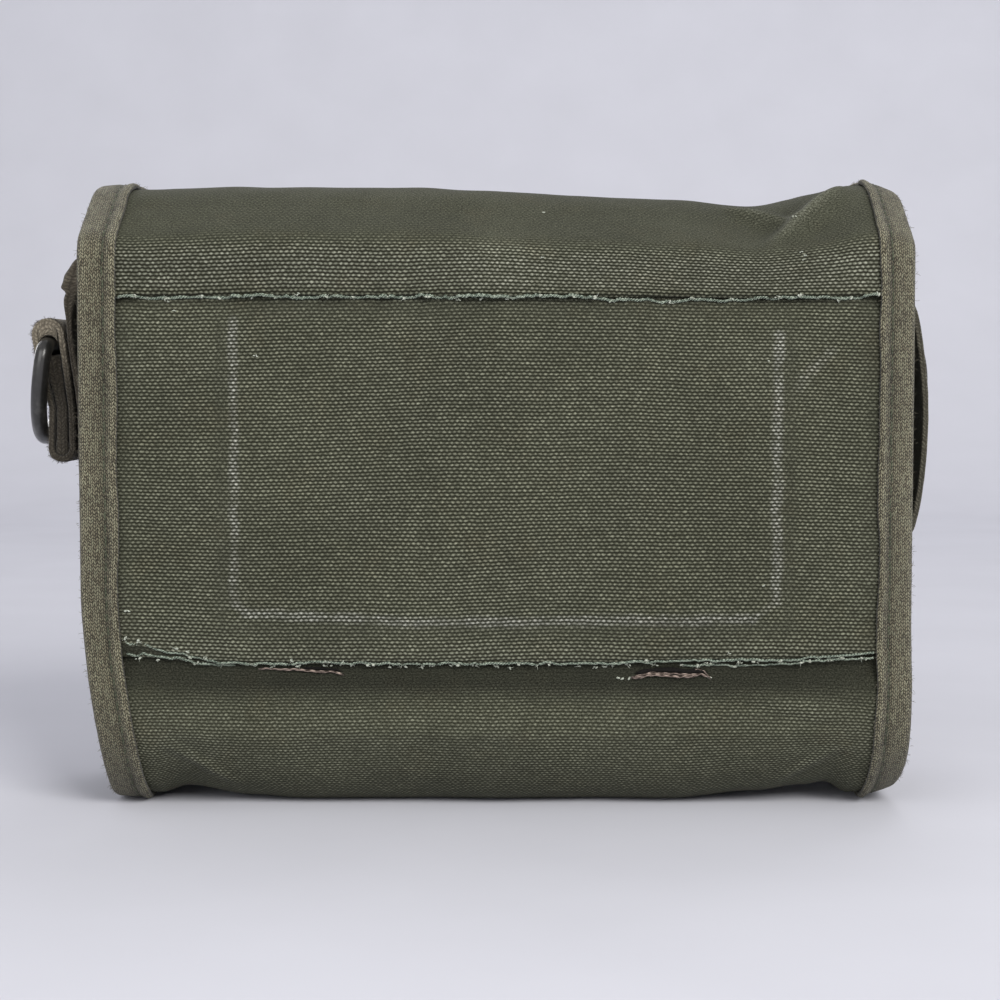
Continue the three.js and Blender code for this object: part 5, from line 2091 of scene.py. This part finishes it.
    def ropes(self, finish: Material) -> None:
        """The twisted threads along the two seams of the back.

        Args:
            finish: pale green thread.
        """
        lines = self.lines
        threads = (
            ("lower_thread", lines.lower, 0.31, 0.08), ("lower_thread_left", lines.lower_left, 0.3, 0.06),
            ("lower_thread_right", lines.lower_right, 0.27, 0.06), ("upper_thread", lines.upper, 0.4, 0.06),
        )
        for k, (name, rows, radius, rise) in enumerate(threads):
            self.rope(name, rows, radius, rise, self.seed + 10 * k, finish)

    def tuft_places(self, rng: np.random.Generator) -> Array:
        """The white tufts that show best, and drawn ones along the rest of both seams.

        Args:
            rng: where the draws come from.

        Returns:
            Rows of x and z.
        """
        lower, upper = self.lines.lower, self.lines.upper
        # from, to, spacing, the thread they sit on and how far below it
        runs = ((-34.0, 28.0, 3.6, lower, 0.5), (-88.0, 15.0, 6.5, upper, 0.0), (62.0, 94.0, 4.2, lower, 0.7))
        spaced = [np.arange(*run[:3]) for run in runs]
        sizes = [len(x) for x in spaced]
        x = np.concatenate(spaced) + rng.uniform(-1.4, 1.4, sum(sizes))
        parts = np.split(x, np.cumsum(sizes)[:-1])
        z = np.concatenate([follow(rows, part) - below for part, (*_, rows, below) in zip(parts, runs)])
        return np.vstack([self.tufts, np.column_stack([x, z + rng.normal(0.0, 0.35, len(x))])])

    def lumps(self, rng: np.random.Generator, centres: Array, faces: Array, radii: Array) -> Piece:
        """Small lumps: fat strands whose radius follows half a circle, lying across the cloth.

        Args:
            rng: where the draws come from.
            centres: their middles.
            faces: which way the cloth faces there.
            radii: their radii.

        Returns:
            The lumps as one mesh.
        """
        along = unit(np.cross(faces, rng.normal(0.0, (0.45, 0.45, 1.6), faces.shape)))
        roots = centres - along * (1.6 * radii)[:, None]
        t = np.linspace(-0.98, 0.98, 7)
        paths, up = curved_strands(rng, roots, along, 3.2 * radii, 0.25, len(t))
        profile = radii[:, None] * np.sqrt(1.0 - t**2) * rng.uniform(0.75, 1.15, (len(radii), len(t)))
        return strand_mesh("seam_knots", paths, profile, 6, up)

    def tuft_pieces(self, finish: Material) -> None:
        """White tufts on the seams: a lump or two and a few hairs at each place, and stray lint.

        Args:
            finish: white cotton.
        """
        rng = np.random.default_rng(self.seed + 1)
        x, z = self.tuft_places(rng).T
        centres, faces = self.on_back(x, z, 0.28), self.form.normal(x, self.form.back_s(z))
        knots = np.repeat(np.arange(len(x)), 2)
        spread = centres[knots] + rng.normal(0.0, 0.26, (len(knots), 3)) * np.array([1.7, 0.3, 0.7])
        radii = rng.uniform(0.16, 0.32, len(knots))
        lint_x, lint_z, lint_radius = self.lint.T
        lint_s = self.form.back_s(lint_z)
        folded = self.wrap.flap_fields(lint_x, lint_s).relief * (lint_s > self.form.line.upper_seam)
        stray, stray_face = self.on_back(lint_x, lint_z, 0.2 + folded), self.form.normal(lint_x, lint_s)
        clump = np.repeat(np.arange(len(stray)), 3)
        size = lint_radius[clump]
        around = stray[clump] + rng.normal(
            0.0, 0.5, (len(clump), 3),
        ) * size[:, None] * np.array([1.9, 0.2, 0.5])
        middles, ways = np.vstack([spread, around]), np.vstack([faces[knots], stray_face[clump]])
        dress(self.lumps(rng, middles, ways, np.concatenate([radii, 0.5 * size])), finish)
        hairs = np.repeat(np.arange(len(x)), 3)
        along = unit(0.25 * faces[hairs] + rng.normal(0.0, (0.9, 0.3, 0.5), (len(hairs), 3)))
        paths, up = curved_strands(rng, centres[hairs], along, rng.uniform(0.4, 1.1, len(hairs)), 0.5)
        fibres = strand_mesh("seam_fibres", paths, np.linspace(0.085, 0.04, paths.shape[1]), 4, up)
        dress(fibres, finish)

    def torn(self, roll: Material, slit_shadow: Material) -> None:
        """Torn strips of a removed backing below the lower seam: rolled strands over near-black strands that
        paint the shadow in the gap above them.

        Args:
            roll: the torn cloth.
            slit_shadow: near-black thread that paints the shadow in the gap above the strips.
        """
        rng = np.random.default_rng(self.seed + 2)
        for name, rows, count, spread, radius, deep, finish in (
            ("torn_strand_left", self.torn_left, 2, 0.16, 0.2, 0.12, roll),
            ("torn_strip_right", self.torn_right, 6, 0.38, 0.2, 0.12, roll),
            ("torn_curl_right", self.torn_curl, 2, 0.16, 0.18, 0.12, roll),
            # These two are painted shadow: near-black strands sunk into the gaps over the strips.
            ("torn_slit_shadow_left", self.slit_shadow_left, 1, 0.0, 0.3, -0.22, slit_shadow),
            ("torn_slit_shadow_right", self.slit_shadow_right, 2, 0.14, 0.5, -0.22, slit_shadow),
        ):
            x = np.linspace(rows[0, 0], rows[-1, 0], 70)
            aside, above, _ = rng.uniform(-1.0, 1.0, (count, 3)).T[..., None]
            seeds = rng.integers(100, 900, count)
            bends, lifts, swings = (
                np.array([noise(int(seed) + k, cell, x) for seed in seeds])
                for k, cell in enumerate(self.torn_cells)
            )
            z = follow(rows, x) + spread * (aside + 0.9 * bends)
            lift = spread * (0.8 + 0.6 * above + 0.7 * lifts)
            taper = np.clip(np.minimum(x - x[0], x[-1] - x) / 1.2, 0.25, 1.0)
            own = radius * (1.0 + 0.35 * swings) * taper
            dress(strand_mesh(name, self.on_back(x, z, lift + deep), own, 7, self.up), finish)

    def hairs(self, name: str, roots: Array, along: Array, reach: float, finish: Material) -> None:
        """Loose hairs that stand off an edge: thin curved strands of drawn lengths.

        Args:
            name: the piece's name.
            roots: where each starts.
            along: its direction.
            reach: the greatest length.
            finish: the cotton.
        """
        rng = np.random.default_rng(self.seed + 3)
        paths, up = curved_strands(rng, roots, along, reach * rng.uniform(0.3, 1.0, len(roots)), 0.6)
        piece = strand_mesh(name, paths, np.linspace(0.06, 0.03, paths.shape[1]), 3, up)
        dress(piece, finish)

    def tape_edge_hairs(self, side: Side) -> tuple[Array, Array]:
        """Roots and directions of hairs along both edges of a tape.

        Args:
            side: which tape.

        Returns:
            A point and a direction for each.
        """
        form, count = self.form, self.tape_hairs
        rng = np.random.default_rng(self.seed + 20 + side.value)
        s = rng.uniform(2.0, form.line.length - 2.0, count)
        fold = rng.random(count) < 0.5
        w = np.where(fold, 9.7, 0.3) + rng.normal(0.0, 0.2, count)
        x = side.value * (form.body_half + w)
        roots = form.point(x, s, np.where(fold, 0.2, 1.1))
        aside = np.column_stack([side.value * np.where(fold, 1.0, -0.8), 0.0 * s, 0.0 * s])
        along = unit(0.5 * form.normal(x, s) + aside + rng.normal(0.0, 0.6, (count, 3)))
        clear = roots[:, 2] > 2.0
        return roots[clear], along[clear]

    def stitch_row(self, name: str, x: Array, s: Array, out: float, run: Pair, finish: Material) -> None:
        """A row of single stitches: short strands that arch out of the cloth and thin at their ends.

        Args:
            name: the piece's name.
            x: each stitch's middle, across.
            s: each stitch's middle, along the wrap.
            out: how far they stand out.
            run: the row's direction in x and s, (1, 0) or (0, 1).
            finish: the thread.
        """
        t = np.linspace(-1.0, 1.0, 6)
        half = self.stitch * 0.42 * t
        rise = 0.28 * (1.0 - t**2) - 0.12
        paths = self.form.point(x[:, None] + run[0] * half, s[:, None] + run[1] * half, out + rise)
        radii = self.stitch_radius * np.sqrt(np.maximum(1.0 - 0.8 * t**2, 0.05))
        up = np.array([0.0, 0.2, 1.0]) if run[0] else np.array([1.0, 0.1, 0.1])
        dress(strand_mesh(name, paths, radii, 6, up), finish)

    def build(self, bindings: Bindings, mount: RingMount, finishes: dict[str, Material]) -> None:
        """Builds and dresses every thread.

        Args:
            bindings: the tapes, for their stitch line.
            mount: the ring's loop, for the hairs on its edges.
            finishes: pale, dark, white and torn cotton, the near-black thread of the painted shadow over the
                torn strips, and the tape's and the webbing's hair.
        """
        self.ropes(finishes["pale"])
        self.tuft_pieces(finishes["white"])
        self.torn(finishes["torn"], finishes["slit_shadow"])
        length, dark = self.form.line.length, finishes["dark"]
        s = np.arange(6.0, length - 4.0, self.stitch)
        for side in Side:
            rng = np.random.default_rng(self.seed + side.value)
            w = bindings.stitch_line + rng.normal(0.0, 0.1, len(s))
            x = side.value * (self.form.body_half + w)
            name = side.name.lower()
            self.stitch_row(f"{name}_tape_stitches", x, s, bindings.gap + bindings.tape - 0.12, (0, 1), dark)
            self.hairs(f"{name}_tape_hairs", *self.tape_edge_hairs(side), 1.1, finishes["tape_hair"])
        roots, along = mount.edge_hairs(np.random.default_rng(self.seed + 9), self.loop_hairs)
        self.hairs("ring_loop_hairs", roots, along, 0.9, finishes["webbing_hair"])
        x = np.arange(-90.0, 90.0, self.stitch)
        self.stitch_row(
            "flap_hem_stitches", x, np.full(len(x), length - self.hem_stitches), 0.0, (1, 0), dark,
        )


@dataclass
class Studio:
    """The pale sweep, soft lights and the camera."""

    focus: tuple[float, float, float] = (0.4, -36.0, 80.3)
    aim: tuple[float, float, float] = (0.0, 0.0, 80.0)
    distance: float = 500.0
    elevation: float = math.radians(3.5)
    lens: float = 72.0
    half_width: float = 4000.0
    front: float = -3500.0
    wall: float = 1700.0
    bend: float = 700.0
    height: float = 3200.0
    thickness: float = 6.0
    clear: float = 0.05
    world: Colour = (0.95, 0.96, 1.0)
    world_strength: float = 0.5

    def sweep(self, finish: Material) -> Piece:
        """The sweep: a floor that turns up through a quarter circle into a wall, drawn across X.

        Args:
            finish: the paper.

        Returns:
            The sweep.
        """
        start = self.wall - self.bend
        floor = np.linspace((self.front, 0.0), (start, 0.0), 40)
        turn = arc((start, self.bend), (self.bend, self.bend), -np.pi / 2, 0.0, 40)
        back = np.linspace((self.wall, self.bend), (self.wall, self.height), 20)
        line = np.vstack([floor, turn[1:], back[1:]])
        x = np.linspace(-self.half_width, self.half_width, 30)
        top = np.stack(np.broadcast_arrays(x[None], line[:, :1], line[:, 1:] - self.clear), axis=-1)
        under = top + np.array([0.0, self.thickness, -self.thickness])
        piece = cloth_wall(
            "sweep", top, under, grid_faces(len(line), len(x)), np.zeros((*top.shape[:2], 2)), {},
        )
        piece.data.materials.append(finish)
        return piece

    def light(self, name: str, place: Sequence[float], size: float, watts: float, colour: Colour) -> Piece:
        """A square soft light that faces the pouch and that the camera doesn't see.

        Args:
            name: the light's name.
            place: where it stands, in millimetres.
            size: the length of its side.
            watts: its power.
            colour: its colour.

        Returns:
            The light.
        """
        lamp = bpy.data.lights.new(name, "AREA")
        lamp.shape, lamp.size, lamp.energy, lamp.color = "SQUARE", size * MM, watts, colour
        holder = bpy.data.objects.new(name, lamp)
        holder.location = Vector(place) * MM
        aim = Vector(self.aim) * MM - holder.location
        holder.rotation_euler = aim.to_track_quat("-Z", "Y").to_euler()
        holder.visible_camera = False
        bpy.context.scene.collection.objects.link(holder)
        return holder

    def camera(self) -> None:
        """A camera behind the pouch, a little above its middle."""
        data = bpy.data.cameras.new("view")
        data.lens, data.sensor_width, data.clip_start, data.clip_end = self.lens, 36.0, 0.01, 50.0
        holder = bpy.data.objects.new("view", data)
        back = Vector((0.0, -math.cos(self.elevation), math.sin(self.elevation)))
        holder.location = Vector(self.focus) * MM + back * self.distance * MM
        holder.rotation_euler = (-back).to_track_quat("-Z", "Y").to_euler()
        bpy.context.scene.collection.objects.link(holder)
        bpy.context.scene.camera = holder

    def build(self, finish: Material) -> None:
        """Sets up the sweep, the lights, the sky and the camera; the front light leaves the sweep dark.

        Args:
            finish: the sweep's paper.
        """
        spared = bpy.data.collections.new("spared_by_front_light")
        spared.objects.link(self.sweep(finish))
        spared.collection_objects[0].light_linking.link_state = "EXCLUDE"
        self.light("key", (850.0, -1600.0, 1150.0), 900.0, 37.0, (1.0, 0.99, 0.97))
        self.light("fill", (-900.0, -1500.0, 800.0), 1400.0, 14.0, (0.98, 0.98, 1.0))
        self.light("rim", (500.0, 1200.0, 1900.0), 1200.0, 9.0, (0.98, 0.98, 1.0))
        front = self.light("front", (-700.0, 1200.0, 700.0), 1000.0, 11.0, (1.0, 0.99, 0.98))
        front.light_linking.receiver_collection = spared
        sky = bpy.data.worlds.new("sky")
        sky.use_nodes = True
        back = sky.node_tree.nodes["Background"]
        back.inputs["Color"].default_value = rgba(self.world)
        back.inputs["Strength"].default_value = self.world_strength
        bpy.context.scene.world = sky
        bpy.context.scene.view_settings.view_transform = "Standard"
        self.camera()


def insert_rubs(form: PouchForm) -> tuple[RubbedLine, ...]:
    """The rubbed outline of a flat thing inside the back, and a short streak at its top right.

    Args:
        form: the pouch, for where the back is along the wrap.

    Returns:
        The lines in x and s.
    """
    base = float(form.back_s(0.0))
    # start x and z, end x and z, width, amount
    rows = (
        (-66.1, 125.0, -66.1, 55.0, 1.9, 1.45), (-66.1, 55.0, -63.0, 52.0, 1.7, 0.9),
        (-63.0, 52.0, -19.6, 49.5, 2.1, 1.75), (-19.6, 49.5, 64.0, 50.4, 2.1, 1.65),
        (64.0, 50.4, 69.8, 54.5, 1.7, 1.2), (69.6, 121.5, 69.8, 54.5, 2.2, 1.75),
        (75.4, 109.0, 82.8, 117.3, 2.4, 0.7),
    )
    return tuple(RubbedLine((x0, base + z0), (x1, base + z1), w, a) for x0, z0, x1, z1, w, a in rows)


def main() -> None:
    """Builds and dresses every sub-assembly, and then the studio."""
    logging.basicConfig(level=logging.INFO, format="%(message)s")
    LOG.info("%d solids in the frame", len(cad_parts))
    effects, form = ClothEffects(), PouchForm()
    finishes = {
        "canvas": CanvasFinish("olive_canvas"),
        "back": CanvasFinish("olive_canvas_rubbed", rubs=insert_rubs(form)),
        "tape": KnitFinish(
            "olive_tape",
            (0.028, 0.025, 0.015), (0.206, 0.178, 0.114), (0.175, 0.172, 0.112), (0.44, 0.405, 0.28),
            contrast=2.0,
        ),
        "webbing": KnitFinish(
            "brown_webbing",
            (0.035, 0.028, 0.02), (0.19, 0.155, 0.11), (0.16, 0.14, 0.10), (0.42, 0.365, 0.27),
            1.1, 1.0, 0.5,
        ),
        "olive_webbing": KnitFinish(
            "olive_webbing",
            (0.026, 0.024, 0.016), (0.09, 0.079, 0.056), (0.086, 0.084, 0.058), (0.2, 0.18, 0.135),
            1.1, 1.0, 0.6,
        ),
        "pale": ThreadFinish("pale_thread", (0.05, 0.07, 0.052), (0.40, 0.45, 0.36), 0.9, 3000.0, 1.9),
        "dark": ThreadFinish("green_thread", (0.03, 0.035, 0.022), (0.12, 0.13, 0.085)),
        "white": ThreadFinish("white_cotton", (0.24, 0.26, 0.205), (0.60, 0.62, 0.53)),
        "torn": ThreadFinish("torn_cotton", (0.03, 0.02, 0.015), (0.40, 0.31, 0.26), 2.3, 4500.0, 2.2),
        # Near-black thread that paints the shadow in the gaps above the torn strips.
        "slit_shadow": ThreadFinish("painted_slit_shadow", (0.005, 0.0045, 0.004), (0.011, 0.009, 0.008), sheen=0.0),
        "tape_hair": ThreadFinish("tape_hair", (0.10, 0.09, 0.065), (0.30, 0.27, 0.20)),
        "webbing_hair": ThreadFinish("webbing_hair", (0.05, 0.042, 0.03), (0.24, 0.20, 0.15)),
        "metal": MetalFinish(),
    }
    made = {name: finish.material(effects) for name, finish in finishes.items()}
    seams = SeamLines()
    wrap, bindings, mount = CanvasWrap(form, seams), Bindings(form), RingMount(form)
    wrap.build(made["canvas"], made["back"])
    SidePanels(form).build(made["canvas"])
    bindings.build(made["tape"])
    mount.build(made["webbing"], made["metal"])
    SnapTab(form).build(made["olive_webbing"], made["metal"])
    SeamThreads(form, seams, wrap).build(bindings, mount, made)
    Studio().build(PaperFinish().material())


if __name__ == "__main__":
    main()
